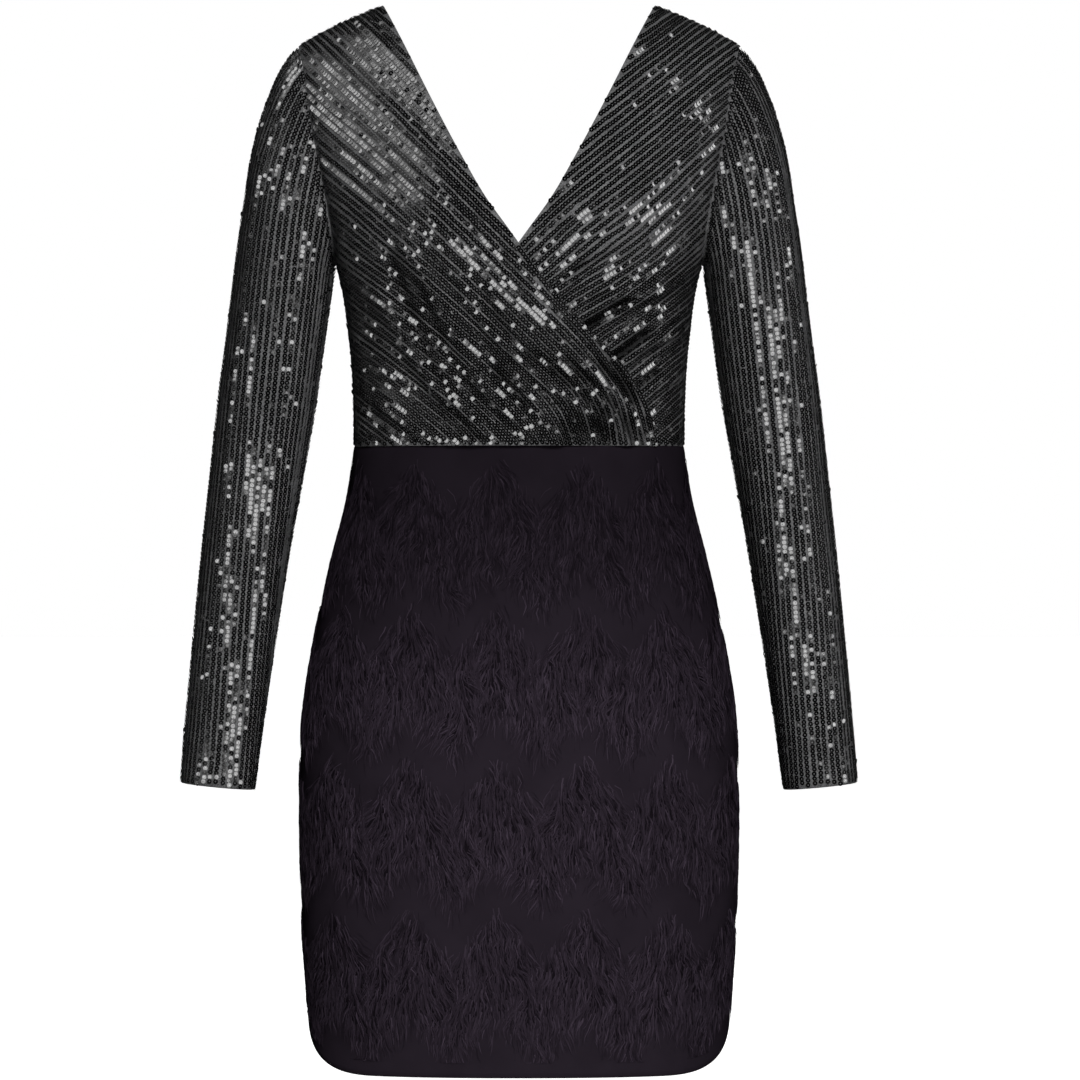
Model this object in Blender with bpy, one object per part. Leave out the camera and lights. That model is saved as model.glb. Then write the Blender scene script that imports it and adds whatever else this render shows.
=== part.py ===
"""Sequin mini dress with a wrap front, long sleeves and a tiered fringe skirt, in the form it has when worn.

X runs to the wearer's left, Y to the back and Z up. The origin lies between the two shoulder seams, where the
wearer holds the dress: at their height, on the middle plane, and SHOULDER_LEAN in front of them. Sizes are in
millimetres, and METRE turns them into Blender's metres.

The dress is cut from two cloths. The bodice and sleeves are sequin cloth, and the skirt is a smooth cloth
with zigzag tiers of short fringe. Each cut piece is a wall of its own, and the pieces meet at their seams.
"""

import math
from collections import namedtuple

import bpy
import numpy as np

METRE = 0.001

# ---- Driving sizes, mm ----------------------------------------------------------------------------------

SEQUIN_CLOTH = 1.6  # wall of the mesh with its sequins
SKIRT_CLOTH = 1.6  # wall of the skirt's ground cloth, without its fringe
SEAM_GAP = 0.3  # between pieces that are sewn together
LAYER_GAP = 1.5  # air between the two wrapped fronts

NECK_Z = 18.9  # top of the shoulder seam, at the neck
SHOULDER_Z = -14.0  # outer end of the shoulder seam
FRONT_V_Z = -182.5  # where the two front edges cross
BACK_V_Z = -196.0  # bottom of the open back
ARMPIT_Z = -198.0
WAIST_Z = -344.4
HEM_Z = -853.3

# The general figure that the dress hangs on: half its width, and how far its front and back stand from
# the middle plane, at each height.
Section = namedtuple("Section", "z half_width front back")
FORM = [
    Section(-865, 173.0, 98, 111),
    Section(-798, 175.5, 100, 115),
    Section(-732, 179.6, 102, 119),
    Section(-634, 181.2, 104, 124),
    Section(-568, 179.6, 104, 124),
    Section(-503, 169.7, 101, 117),
    Section(-437, 155.4, 95, 101),
    Section(-388, 142.7, 88, 86),
    Section(-344, 136.0, 84, 77),
    Section(-306, 136.0, 88, 78),
    Section(-257, 139.4, 98, 84),
    Section(-198, 149.5, 110, 93),
    Section(-175, 158.0, 113, 96),
    Section(-146, 168.0, 112, 98),
    Section(-105, 179.0, 104, 99),
    Section(-74, 185.0, 96, 97),
    Section(-20, 193.0, 82, 88),
    Section(40, 198.0, 70, 76),
]
SKIRT_SECTIONS = 9  # the rows of FORM that are below the waist
SECTION_POWER = 2.25  # 2 would make every section an ellipse
ARCH_REACH = 95.0  # depth below the shoulder line at which the form has its full thickness
SHOULDER_LEAN = 10.0  # how far the shoulder seams sit behind the middle plane
FULLNESS = 9.0  # how much rounder the fronts are cut around each point (FULL_X, FULL_Z)
FULL_X, FULL_Z = 70.0, -152.0
FULL_WIDTH, FULL_HEIGHT = 42.0, 50.0

# Height of the shoulder line over each half width. Inside the neck it only shapes the form.
ShoulderPoint = namedtuple("ShoulderPoint", "x z")
SHOULDER_LINE = [
    ShoulderPoint(0, 60),
    ShoulderPoint(60, 41),
    ShoulderPoint(112.3, NECK_Z),
    ShoulderPoint(144.3, 5.7),
    ShoulderPoint(182, SHOULDER_Z),
    ShoulderPoint(200, -26),
]

# Edges of the bodice pieces, as half widths at each height, seen from the front.
EdgePoint = namedtuple("EdgePoint", "z x")
FRONT_NECK = [
    EdgePoint(FRONT_V_Z, 0),
    EdgePoint(-170, 9),
    EdgePoint(-147, 25.4),
    EdgePoint(-113, 45),
    EdgePoint(-64, 71),
    EdgePoint(-13.5, 96),
    EdgePoint(NECK_Z, 112.3),
]
BACK_NECK = [
    EdgePoint(BACK_V_Z, 0),
    EdgePoint(-180, 14),
    EdgePoint(-147, 33),
    EdgePoint(-113, 50.5),
    EdgePoint(-64, 75),
    EdgePoint(-13.5, 98.5),
    EdgePoint(NECK_Z, 112.3),
]
# How far a front's free edge has crossed to the other side, below the point of the V.
WRAP_EDGE = [
    EdgePoint(WAIST_Z, 112),
    EdgePoint(-322, 106),
    EdgePoint(-307, 99),
    EdgePoint(-277, 79.5),
    EdgePoint(-254, 57.5),
    EdgePoint(-233, 37.5),
    EdgePoint(-213, 21),
    EdgePoint(FRONT_V_Z, 0),
]
ARMHOLE = [
    EdgePoint(ARMPIT_Z, 149.5),
    EdgePoint(-175, 152),
    EdgePoint(-146, 156.6),
    EdgePoint(-105, 165),
    EdgePoint(-74, 170.6),
    EdgePoint(-40, 176),
    EdgePoint(SHOULDER_Z, 182),
]

# Pleats and gathers of the fronts, seen from the front: each runs from (x0, z0) to (x1, z1), bowed by bow
# to its left, and stands height proud over a half width of width.
Fold = namedtuple("Fold", "x0 z0 x1 z1 bow width height")
OVER_FOLDS = [
    Fold(6, -192, 94, -302, -4, 9, 2.6),
    Fold(-30, -240, 50, -316, -5, 11, 5.0),
    Fold(-40, -284, 30, -346, -5, 11, 5.0),
    Fold(-86, -264, -4, -346, -9, 12, 3.8),
    Fold(-122, -296, -36, -346, -9, 12, 3.0),
    Fold(62, -302, 88, -346, -3, 9, 3.8),
]
UNDER_FOLDS = [
    Fold(30, -236, 68, -188, 7, 9, 4.2),
    Fold(58, -262, 114, -220, 7, 10, 5.2),
    Fold(82, -286, 126, -254, 6, 9, 5.0),
    Fold(99, -310, 130, -290, 4, 8, 3.4),
]
BACK_FOLDS = [
    Fold(34, -346, 126, -262, 8, 12, 2.4),
    Fold(70, -346, 134, -300, 5, 11, 2.8),
    Fold(24, -252, 118, -206, 6, 14, 1.8),
]
STEEP_SIDE = 0.55  # a fold's lower side is this share as wide as its upper side
FOLD_START = (-0.1, 0.25)  # a fold rises between these shares of its length
FOLD_END = (0.97, 1.25)  # and it dies away between these
FLAT_BY_SEAM = 0.82  # folds and layers are flat from this share of a panel's width to its side seam

# Sleeve sections: the outer and inner points seen from the front, half the depth, and the middle's Y.
SleeveRing = namedtuple("SleeveRing", "x_out z_out x_in z_in half_depth y_mid")
SLEEVE = [
    SleeveRing(182.0, SHOULDER_Z, 149.5, ARMPIT_Z, 54, 7),
    SleeveRing(191.0, -27, 150.0, -199.5, 55, 6),
    SleeveRing(200.5, -44, 150.3, -201.0, 56, 6),
    SleeveRing(212.4, -76, 151.0, -204.0, 56, 5),
    SleeveRing(220.6, -109, 152.0, -208.5, 56, 4),
    SleeveRing(225.5, -142, 153.0, -215.0, 55, 3),
    SleeveRing(230.4, -175, 154.5, -226.0, 54, 2),
    SleeveRing(234.5, -208, 157.0, -244.0, 52, 1),
    SleeveRing(240.5, -257, 161.2, -275.0, 50, 1),
    SleeveRing(247.0, -306, 167.4, -318.0, 48, 2),
    SleeveRing(254.0, -371, 178.0, -377.0, 46, 2),
    SleeveRing(260.8, -437, 189.0, -440.0, 44, -2),
    SleeveRing(267.0, -503, 199.0, -506.0, 41, -8),
    SleeveRing(273.0, -568, 208.4, -572.0, 37, -15),
    SleeveRing(276.6, -618, 215.0, -624.0, 34, -21),
]
# Ways out of the cloth along the armhole seam, on the left and back
SHOULDER_OUT, ARMHOLE_OUT, ARMPIT_OUT = (0.6, 0, 0.8), (0.3, 0.95, 0), (0, 0, -1)
SEAM_CARRY = 5.0  # rings over which a sleeve takes on its own oval from the armhole's shape

# Skirt fringe: zigzag tiers of strands that hang down over the ground cloth.
TIER_TOPS = [-363.0, -480.0, -600.0, -720.0]  # height of the zigzag's peaks
TIER_LENGTH = 95.0
ZIGZAG_DROP = 41.0  # from a peak down to a trough
COLUMNS_PER_ZIGZAG = 4
SKIRT_HALF_COLUMNS = 13
FRINGE_INSET = 2.0  # how far the ground cloth lies inside the form, to leave room for the fringe
FRINGE_ROOT, FRINGE_MIDDLE, FRINGE_TIP = 1.4, 2.2, 2.8  # how far a tier stands out, from its top down
FRINGE_STEP = 9.0  # length over which a tier starts and ends
HEM_RISE = 46.0  # how much higher the hem is at the side seams
HEM_TURN = math.radians(41)  # angle from the middle at which the hem starts to rise
HEM_POWER = 2.5
HEM_FOLLOW_Z = -760.0  # below this the rows are squeezed to follow the hem
HEM_BAND = 10.0  # plain cloth along the hem

SkirtRow = namedtuple("SkirtRow", "peak_z zigzag_share lift")
NEAR_HEM = (0.75, 0.6, 0.1)  # zigzag shares of the last rows over the hem, which is plain

# Mesh density
FRONT_SIDE_ROWS = 18
BACK_SIDE_ROWS = 10
ARM_ROWS = 12
LAP_FADE_ROWS = 6  # rows over the armpit at which a lapped front lies on the form again
FRONT_COLUMNS = 26
BACK_COLUMNS = 9
SLEEVE_RINGS = 16
INNER_STEP = 0.7  # a bodice panel's first column at its inner edge, as a share of an even one
RING_SAMPLES = 91  # points used to measure along a section

FRONT, BACK = -1, 1  # the side of the middle plane, as the sign of Y


# ---- Curves through the tables --------------------------------------------------------------------------


def smooth(rows, key, value):
    """A smooth function through a table's points, from one column, or the row's number, to another."""
    xs = np.array([getattr(row, key) if key else number for number, row in enumerate(rows)], float)
    ys = np.array([getattr(row, value) for row in rows], float)
    order = np.argsort(xs)
    xs, ys = xs[order], ys[order]
    slopes = np.gradient(ys, xs)

    def curve(at):
        at = np.clip(at, xs[0], xs[-1])
        i = np.clip(np.searchsorted(xs, at) - 1, 0, len(xs) - 2)
        span = xs[i + 1] - xs[i]
        t = (at - xs[i]) / span
        rise = t * t * (3 - 2 * t)
        start = t * (1 - t) ** 2 * span * slopes[i]
        end = t * t * (t - 1) * span * slopes[i + 1]
        return ys[i] + (ys[i + 1] - ys[i]) * rise + start + end

    return curve


def ease(x, low, high):
    """0 below low and 1 above high, with a smooth rise between."""
    t = np.clip((x - low) / (high - low), 0, 1)
    return t * t * (3 - 2 * t)


half_width = smooth(FORM, "z", "half_width")
front_depth = smooth(FORM, "z", "front")
back_depth = smooth(FORM, "z", "back")
shoulder_line = smooth(SHOULDER_LINE, "x", "z")
front_neck = smooth(FRONT_NECK, "z", "x")
back_neck = smooth(BACK_NECK, "z", "x")
wrap_edge = smooth(WRAP_EDGE, "z", "x")
armhole = smooth(ARMHOLE, "z", "x")


# ---- The form under the cloth ---------------------------------------------------------------------------


def form_point(angle, z, face):
    """Points of the form at a section angle, 0 at the middle and a quarter turn at the sides."""
    share = np.abs(np.sin(angle))
    x = half_width(z) * np.sin(angle)
    depth = (1 - share**SECTION_POWER) ** (1 / SECTION_POWER)
    depth = depth * (front_depth(z) if face == FRONT else back_depth(z))
    if face == FRONT:
        across, up = (np.abs(x) - FULL_X) / FULL_WIDTH, (z - FULL_Z) / FULL_HEIGHT
        depth = depth + FULLNESS * np.exp(-(across**2) - up**2) * (1 - share**6)
    drop = np.clip((shoulder_line(np.abs(x)) - z) / ARCH_REACH, 0, 1)
    depth = depth * np.sqrt(1 - (1 - drop) ** 2)
    lean = SHOULDER_LEAN * ease(z, WAIST_Z, SHOULDER_Z)
    return np.stack([x, lean + face * depth, z + 0 * x], -1)


def form_outward(angle, z, face):
    """The level direction that points out of the form."""
    depth = front_depth(z) if face == FRONT else back_depth(z)
    bend = SECTION_POWER - 1
    share = np.abs(np.sin(angle))
    height = np.maximum(1 - share**SECTION_POWER, 0) ** (bend / SECTION_POWER)
    x = np.sign(np.sin(angle)) * share**bend / half_width(z)
    y = face * height / depth
    length = np.hypot(x, y)
    return np.stack([x / length, y / length, 0 * x], -1)


def fold_height(folds, x, z):
    """How far the folds lift the cloth at points seen from the front."""
    lift = np.zeros_like(x)
    for fold in folds:
        run = np.array([fold.x1 - fold.x0, fold.z1 - fold.z0], float)
        length = np.hypot(*run)
        run = run / length
        along = ((x - fold.x0) * run[0] + (z - fold.z0) * run[1]) / length
        across = (z - fold.z0) * run[0] - (x - fold.x0) * run[1]
        t = np.clip(along, 0, 1)
        across = across - fold.bow * 4 * t * (1 - t)
        width = np.where(across < 0, fold.width * STEEP_SIDE, fold.width)
        ends = ease(along, *FOLD_START) * (1 - ease(along, *FOLD_END))
        lift = lift + fold.height * np.exp(-((across / width) ** 2)) * ends
    return lift


# ---- Cloth walls ----------------------------------------------------------------------------------------


def grid_faces(rows, columns, flip=False, closed=False):
    """Quads of a grid of points, which is closed round where the last column joins the first."""
    faces = []
    for i in range(rows - 1):
        for j in range(columns if closed else columns - 1):
            after = (j + 1) % columns
            quad = [i * columns + j, i * columns + after, (i + 1) * columns + after, (i + 1) * columns + j]
            faces.append(quad[::-1] if flip else quad)
    return faces


def weld(points, faces):
    """Points that coincide made one. It also gives each old point's new number."""
    _, first, number = np.unique(np.round(points, 4), axis=0, return_index=True, return_inverse=True)
    number = number.reshape(-1)
    return points[first], [[int(number[i]) for i in face] for face in faces], number


def surface_normals(points, faces):
    normals = np.zeros_like(points)
    for face in faces:
        a, b, c, d = points[face]
        normals[face] += np.cross(c - a, d - b)
    return unit(normals)


def unit(vectors):
    return vectors / np.maximum(np.linalg.norm(vectors, axis=-1, keepdims=True), 1e-9)


def edge_links(faces):
    """The edges that only one face has, each in that face's direction."""
    seen = {}
    for face in faces:
        for a, b in zip(face, face[1:] + face[:1]):
            seen[frozenset((a, b))] = None if frozenset((a, b)) in seen else (a, b)
    return [link for link in seen.values() if link]


def drawn_in(points, normals, links):
    """The points with each edge moved half a seam gap into its own piece, and a corner along both edges."""
    inward = {}
    for a, b in links:
        for i in (a, b):
            inward.setdefault(i, []).append(unit(np.cross(normals[i], points[b] - points[a])))
    moved = points.copy()
    for i, ways in inward.items():
        total = np.sum(ways, axis=0)
        moved[i] += SEAM_GAP * total / max(float(total @ total), 1.0)
    return moved


def cloth_wall(name, points, faces, normals, wall, material, lift=None):
    """One piece of cloth as a closed wall. lift raises its outer points over a plain inside."""
    links = edge_links(faces)
    base = drawn_in(points, normals, links)
    outer = base if lift is None else base + normals * lift[:, None]
    inner = base - normals * wall
    count = len(points)
    closed = [list(face) for face in faces]
    closed += [[i + count for i in reversed(face)] for face in faces]
    closed += [[b, a, a + count, b + count] for a, b in links]
    mesh = bpy.data.meshes.new(name)
    mesh.from_pydata((np.concatenate([outer, inner]) * METRE).tolist(), [], closed)
    mesh.materials.append(material)
    mesh.validate()
    mesh.shade_smooth()
    mesh.set_sharp_from_angle(angle=math.radians(50))
    piece = bpy.data.objects.new(name, mesh)
    bpy.context.scene.collection.objects.link(piece)
    return piece


def cloth_material(name, colour, roughness, metallic):
    material = bpy.data.materials.new(name)
    material.use_nodes = True
    shader = material.node_tree.nodes["Principled BSDF"]
    shader.inputs["Base Color"].default_value = (*colour, 1)
    shader.inputs["Roughness"].default_value = roughness
    shader.inputs["Metallic"].default_value = metallic
    return material


# ---- Seams ----------------------------------------------------------------------------------------------


def shoulder_normal(x, side):
    """Out of the cloth along the shoulder seam."""
    slope = (shoulder_line(x + 1) - shoulder_line(x - 1)) / 2
    return unit(np.array([-slope * side, 0, 1]))


def side_normal(z, side):
    """Out of the cloth along a side seam."""
    slope = (half_width(z + 1) - half_width(z - 1)) / 2
    return unit(np.array([side, 0, -slope]))


def armhole_normal(turn, face, side):
    """Out of the cloth along an armhole seam. turn is 0 at the shoulder and half a turn at the armpit."""
    shoulder = np.array(SHOULDER_OUT) * max(math.cos(turn), 0)
    middle = np.array(ARMHOLE_OUT) * math.sin(turn)
    armpit = np.array(ARMPIT_OUT) * max(-math.cos(turn), 0)
    return unit((shoulder + middle + armpit) * (side, face, 1))


def arm_turns():
    """The armhole's points from the armpit up to the shoulder, as turns."""
    return np.linspace(math.pi, 0, ARM_ROWS + 1)


def armhole_z(turn):
    return SHOULDER_Z + (ARMPIT_Z - SHOULDER_Z) * (1 - np.cos(turn)) / 2


# ---- Bodice ---------------------------------------------------------------------------------------------


def bodice_rows(side_edge, neck_edge, low_z, side_rows):
    """Each row's ends, from the waist up: the inner edge's x and z, the outer edge's x and z, and its turn."""
    rows = []
    for i in range(side_rows):
        share = i / side_rows
        z_in = WAIST_Z + share * (low_z - WAIST_Z)
        z_out = WAIST_Z + share * (ARMPIT_Z - WAIST_Z)
        rows.append((side_edge(z_in), z_in, half_width(z_out), z_out, None))
    for turn in arm_turns():
        z_in = NECK_Z + (low_z - NECK_Z) * (1 - math.cos(turn / 2))
        z_out = armhole_z(turn)
        rows.append((neck_edge(z_in), z_in, armhole(z_out), z_out, turn))
    return rows


def bodice_grid(rows, columns):
    """Section angles and heights of a half bodice's points, from the inner edge out, on the +X side."""
    share = np.linspace(0, 1, columns + 1)
    share = share * (INNER_STEP + (1 - INNER_STEP) * share)
    angles, heights = [], []
    for x_in, z_in, x_out, z_out, turn in rows:
        angle_in = math.asin(np.clip(x_in / half_width(z_in), -1, 1))
        angle_out = math.asin(np.clip(x_out / half_width(z_out), -1, 1))
        angle = angle_in + (angle_out - angle_in) * share
        level = z_in + (z_out - z_in) * share
        chord = shoulder_line(abs(x_in)) + (shoulder_line(x_out) - shoulder_line(abs(x_in))) * share
        follow = 0 if turn is None else 1 - turn / math.pi
        z = level
        for _ in range(4):
            x = np.abs(half_width(z) * np.sin(angle))
            z = level + follow * (shoulder_line(x) - chord)
        angles.append(angle)
        heights.append(z)
    return np.array(angles), np.array(heights)


def bodice_seam_normals(normals, rows, columns, face, side):
    """Sets the normals along the seams to what both of the pieces sewn there have."""
    width = columns + 1
    last = len(rows) - 1
    normals[: width, 2] = 0
    for i, (_, _, _, z_out, turn) in enumerate(rows):
        if turn is None:
            normals[i * width + columns] = side_normal(z_out, side) * (1, 1, 1 if i else 0)
        else:
            normals[i * width + columns] = armhole_normal(turn, face, side)
    x_in, x_out = rows[last][0], rows[last][2]
    for j in range(columns):
        x = x_in + (x_out - x_in) * j / columns
        normals[last * width + j] = shoulder_normal(x, side)
    return unit(normals)


def front_panel(name, side, folds, layer, material):
    """One wrapped front. layer is how far it is lifted to lie over the other."""
    rows = bodice_rows(lambda z: -wrap_edge(z), front_neck, FRONT_V_Z, FRONT_SIDE_ROWS)
    angle, z = bodice_grid(rows, FRONT_COLUMNS)
    points = form_point(angle, z, FRONT)
    out = form_outward(angle, z, FRONT)
    across = np.linspace(0, 1, FRONT_COLUMNS + 1)[None, :]
    up = np.arange(len(rows))[:, None]
    seams = 1 - ease(across, FLAT_BY_SEAM, 1.0)
    lapped = 1 - ease(up, FRONT_SIDE_ROWS + 1, FRONT_SIDE_ROWS + LAP_FADE_ROWS)
    lift = (layer * lapped + fold_height(folds, points[..., 0] * side, points[..., 2])) * seams
    points = (points + out * lift[..., None]).reshape(-1, 3) * (side, 1, 1)
    faces = grid_faces(len(rows), FRONT_COLUMNS + 1, flip=side < 0)
    normals = surface_normals(points, faces)
    normals = bodice_seam_normals(normals, rows, FRONT_COLUMNS, FRONT, side)
    return cloth_wall(name, points, faces, normals, SEQUIN_CLOTH, material)


def back_panel(name, material):
    """The back in one piece, open in a V from the shoulders."""
    rows = bodice_rows(lambda z: 0.0, back_neck, BACK_V_Z, BACK_SIDE_ROWS)
    angle, z = bodice_grid(rows, BACK_COLUMNS)
    half = form_point(angle, z, BACK)
    seams = 1 - ease(np.linspace(0, 1, BACK_COLUMNS + 1), FLAT_BY_SEAM, 1.0)
    lift = fold_height(BACK_FOLDS, half[..., 0], half[..., 2]) * seams
    half = (half + form_outward(angle, z, BACK) * lift[..., None]).reshape(-1, 3)
    faces = grid_faces(len(rows), BACK_COLUMNS + 1, flip=True)
    left_normals = bodice_seam_normals(surface_normals(half, faces), rows, BACK_COLUMNS, BACK, 1)
    mirrored = [[i + len(half) for i in reversed(face)] for face in faces]
    points, faces, number = weld(np.concatenate([half, half * (-1, 1, 1)]), faces + mirrored)
    both = np.concatenate([left_normals, left_normals * (-1, 1, 1)])
    normals = np.zeros_like(points)
    np.add.at(normals, number, both)
    return cloth_wall(name, points, faces, unit(normals), SEQUIN_CLOTH, material)


# ---- Sleeves --------------------------------------------------------------------------------------------


def armhole_ring(turns, faces):
    """The armhole seam on the form, at the sleeve's turns."""
    z = armhole_z(turns)
    angle = np.arcsin(np.clip(armhole(z) / half_width(z), -1, 1))
    front, back = form_point(angle, z, FRONT), form_point(angle, z, BACK)
    return np.where((faces == FRONT)[:, None], front, back)


def sleeve(name, side, material):
    """A sleeve, as rings from the armhole seam to the cuff."""
    position = np.linspace(0, len(SLEEVE) - 1, SLEEVE_RINGS)
    read = {field: smooth(SLEEVE, None, field)(position) for field in SleeveRing._fields}
    down = arm_turns()[::-1]
    turns = np.concatenate([down, down[-2:0:-1]])
    faces = np.where(np.arange(len(turns)) <= ARM_ROWS, FRONT, BACK)
    seam = armhole_ring(turns, faces)
    rings = []
    for i in range(SLEEVE_RINGS):
        outer = np.array([read["x_out"][i], read["y_mid"][i], read["z_out"][i]])
        inner = np.array([read["x_in"][i], read["y_mid"][i], read["z_in"][i]])
        ring = (outer + inner) / 2 + np.cos(turns)[:, None] * (outer - inner) / 2
        ring[:, 1] += faces * np.sin(turns) * read["half_depth"][i]
        if i == 0:
            carried = seam - ring
        rings.append(ring + carried * (1 - ease(position[i], 0, SEAM_CARRY)))
    points = np.concatenate(rings) * (side, 1, 1)
    quads = grid_faces(SLEEVE_RINGS, len(turns), flip=side < 0, closed=True)
    normals = surface_normals(points, quads)
    for j, turn in enumerate(turns):
        normals[j] = armhole_normal(turn, faces[j], side)
    return cloth_wall(name, points, quads, normals, SEQUIN_CLOTH, material)


# ---- Skirt ----------------------------------------------------------------------------------------------


def hem_height(angle):
    """The hem's height at a section angle, raised in rounded corners beside the side seams."""
    turn = np.clip((np.abs(angle) - HEM_TURN) / (math.pi / 2 - HEM_TURN), 0, 1)
    return HEM_Z + HEM_RISE * turn**HEM_POWER


def angle_along(distance, z, face):
    """The section angle at a distance round from the middle, and the distance to the side seam."""
    sample = np.linspace(0, math.pi / 2, RING_SAMPLES)
    steps = np.diff(form_point(sample, np.full(RING_SAMPLES, z), face), axis=0)
    run = np.concatenate([[0], np.cumsum(np.linalg.norm(steps, axis=1))])
    return np.sign(distance) * np.interp(abs(distance), run, sample), run[-1]


def zigzag(column):
    """0 at a peak and 1 at a trough. A peak lies one column to the wearer's right of the middle."""
    step = (column + 1) % COLUMNS_PER_ZIGZAG
    half = COLUMNS_PER_ZIGZAG / 2
    return 1 - abs(step - half) / half


def skirt_rows():
    """The skirt's rows, from the waist down."""
    rows = [SkirtRow(WAIST_Z, 0.0, 0.0), SkirtRow((WAIST_Z + TIER_TOPS[0]) / 2, 0.5, 0.0)]
    for top in TIER_TOPS:
        end = top - TIER_LENGTH
        rows.append(SkirtRow(top, 1.0, 0.0))
        rows.append(SkirtRow(top - FRINGE_STEP, 1.0, FRINGE_ROOT))
        rows.append(SkirtRow((top + end) / 2, 1.0, FRINGE_MIDDLE))
        rows.append(SkirtRow(end + FRINGE_STEP, NEAR_HEM[0] if top == TIER_TOPS[-1] else 1.0, FRINGE_TIP))
        rows.append(SkirtRow(end, NEAR_HEM[1] if top == TIER_TOPS[-1] else 1.0, 0.0))
    rows.append(SkirtRow(HEM_Z + HEM_BAND, NEAR_HEM[2], 0.0))
    rows.append(SkirtRow(HEM_Z, 0.0, 0.0))
    return rows


def skirt_panel(name, face, material):
    """Half of the skirt, from side seam to side seam, with its tiers of fringe raised."""
    columns = np.arange(-SKIRT_HALF_COLUMNS, SKIRT_HALF_COLUMNS + 1)
    widest = max(FORM[:SKIRT_SECTIONS], key=lambda row: row.half_width).z
    hip_run = angle_along(0, widest, face)[1]
    points, lift, out = [], [], []
    for peak_z, share, height in skirt_rows():
        for column in columns:
            z = peak_z - ZIGZAG_DROP * share * zigzag(column)
            part = column / SKIRT_HALF_COLUMNS
            seam_run = angle_along(0, z, face)[1]
            along = hip_run * part - (hip_run - seam_run) * part**3
            angle = angle_along(along, z, face)[0]
            if z < HEM_FOLLOW_Z:
                squeeze = (hem_height(angle) - HEM_FOLLOW_Z) / (HEM_Z - HEM_FOLLOW_Z)
                z = HEM_FOLLOW_Z + (z - HEM_FOLLOW_Z) * squeeze
            points.append(form_point(angle, z, face))
            out.append(form_outward(angle, z, face))
            lift.append(height)
    points, lift, out = np.array(points), np.array(lift), np.array(out)
    below_waist = 1 - ease(points[:, 2], TIER_TOPS[0] - ZIGZAG_DROP / 2, WAIST_Z)
    points = points - out * (FRINGE_INSET * below_waist)[:, None]
    width = len(columns)
    faces = grid_faces(len(points) // width, width, flip=face == FRONT)
    normals = surface_normals(points, faces)
    normals[:width, 2] = 0
    for i in range(0, len(points), width):
        for j, side in ((0, -1), (width - 1, 1)):
            normals[i + j] = side_normal(points[i + j][2], side) * (1, 1, 1 if i else 0)
    return cloth_wall(name, points, faces, unit(normals), SKIRT_CLOTH, material, lift)


# ---- The dress ------------------------------------------------------------------------------------------


def build_dress():
    for old in list(bpy.data.objects):
        bpy.data.objects.remove(old, do_unlink=True)
    sequins = cloth_material("black_sequins", (0.022, 0.022, 0.024), 0.32, 0.35)
    fringe = cloth_material("fringe_cloth", (0.018, 0.015, 0.021), 0.85, 0.0)
    front_panel("front_wrap_under", 1, UNDER_FOLDS, 0.0, sequins)
    front_panel("front_wrap_over", -1, OVER_FOLDS, SEQUIN_CLOTH + LAYER_GAP, sequins)
    back_panel("back_bodice", sequins)
    sleeve("sleeve_left", 1, sequins)
    sleeve("sleeve_right", -1, sequins)
    skirt_panel("skirt_front", FRONT, fringe)
    skirt_panel("skirt_back", BACK, fringe)


build_dress()
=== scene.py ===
"""Looks of the sequin mini dress: its net, sequins, smooth skirt cloth and fringe, in a studio with a camera.

Tables are in millimetres, as on a paper pattern, and MM turns them into metres. X runs to the wearer's left,
Y to the back and Z up, from the point between the two shoulder seams.
"""

import itertools
import math
from collections import namedtuple

import bpy
import numpy as np
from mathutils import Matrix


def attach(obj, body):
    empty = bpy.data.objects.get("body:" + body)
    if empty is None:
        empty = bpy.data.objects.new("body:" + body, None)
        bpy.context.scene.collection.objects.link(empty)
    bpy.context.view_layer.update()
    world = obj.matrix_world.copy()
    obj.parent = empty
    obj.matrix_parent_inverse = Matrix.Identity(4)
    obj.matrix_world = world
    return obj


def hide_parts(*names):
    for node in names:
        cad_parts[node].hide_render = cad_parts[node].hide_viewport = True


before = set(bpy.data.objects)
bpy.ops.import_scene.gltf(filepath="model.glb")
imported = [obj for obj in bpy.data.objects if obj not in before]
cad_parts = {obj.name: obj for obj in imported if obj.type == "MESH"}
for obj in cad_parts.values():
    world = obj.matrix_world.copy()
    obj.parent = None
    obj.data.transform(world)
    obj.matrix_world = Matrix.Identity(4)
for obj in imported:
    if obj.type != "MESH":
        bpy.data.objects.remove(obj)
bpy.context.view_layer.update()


# ---- Back of the bodice ---------------------------------------------------------------------------------
# One piece of soft black net, open in a deep V, with sequins sewn on in upright rows. It is sewn to the fronts
# at the shoulders and sides, and to the skirt at the waist. The figure that it lies on carries every piece.

MM = 0.001

Section = namedtuple("Section", "z half_width front back")
FIGURE = [
    Section(-865, 173.0, 98, 111),
    Section(-798, 175.5, 100, 115),
    Section(-732, 179.6, 102, 119),
    Section(-634, 181.2, 104, 124),
    Section(-568, 179.6, 104, 124),
    Section(-503, 169.7, 101, 117),
    Section(-437, 155.4, 95, 101),
    Section(-388, 142.7, 88, 86),
    Section(-344, 136.0, 84, 77),
    Section(-306, 136.0, 88, 78),
    Section(-257, 139.4, 98, 84),
    Section(-198, 149.5, 110, 93),
    Section(-175, 158.0, 113, 96),
    Section(-146, 168.0, 112, 98),
    Section(-105, 179.0, 104, 99),
    Section(-74, 185.0, 96, 97),
    Section(-20, 193.0, 82, 88),
    Section(40, 198.0, 70, 76),
]
SECTION_POWER = 2.25  # 2 would make every section an ellipse
ARCH_REACH = 95.0  # depth below the shoulder line at which the figure has its full thickness
SHOULDER_LEAN = 10.0  # how far the shoulder seams sit behind the middle plane
FULLNESS = 9.0  # how much rounder the fronts are around each point (FULL_X, FULL_Z)
FULL_X, FULL_Z = 70.0, -152.0
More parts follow.
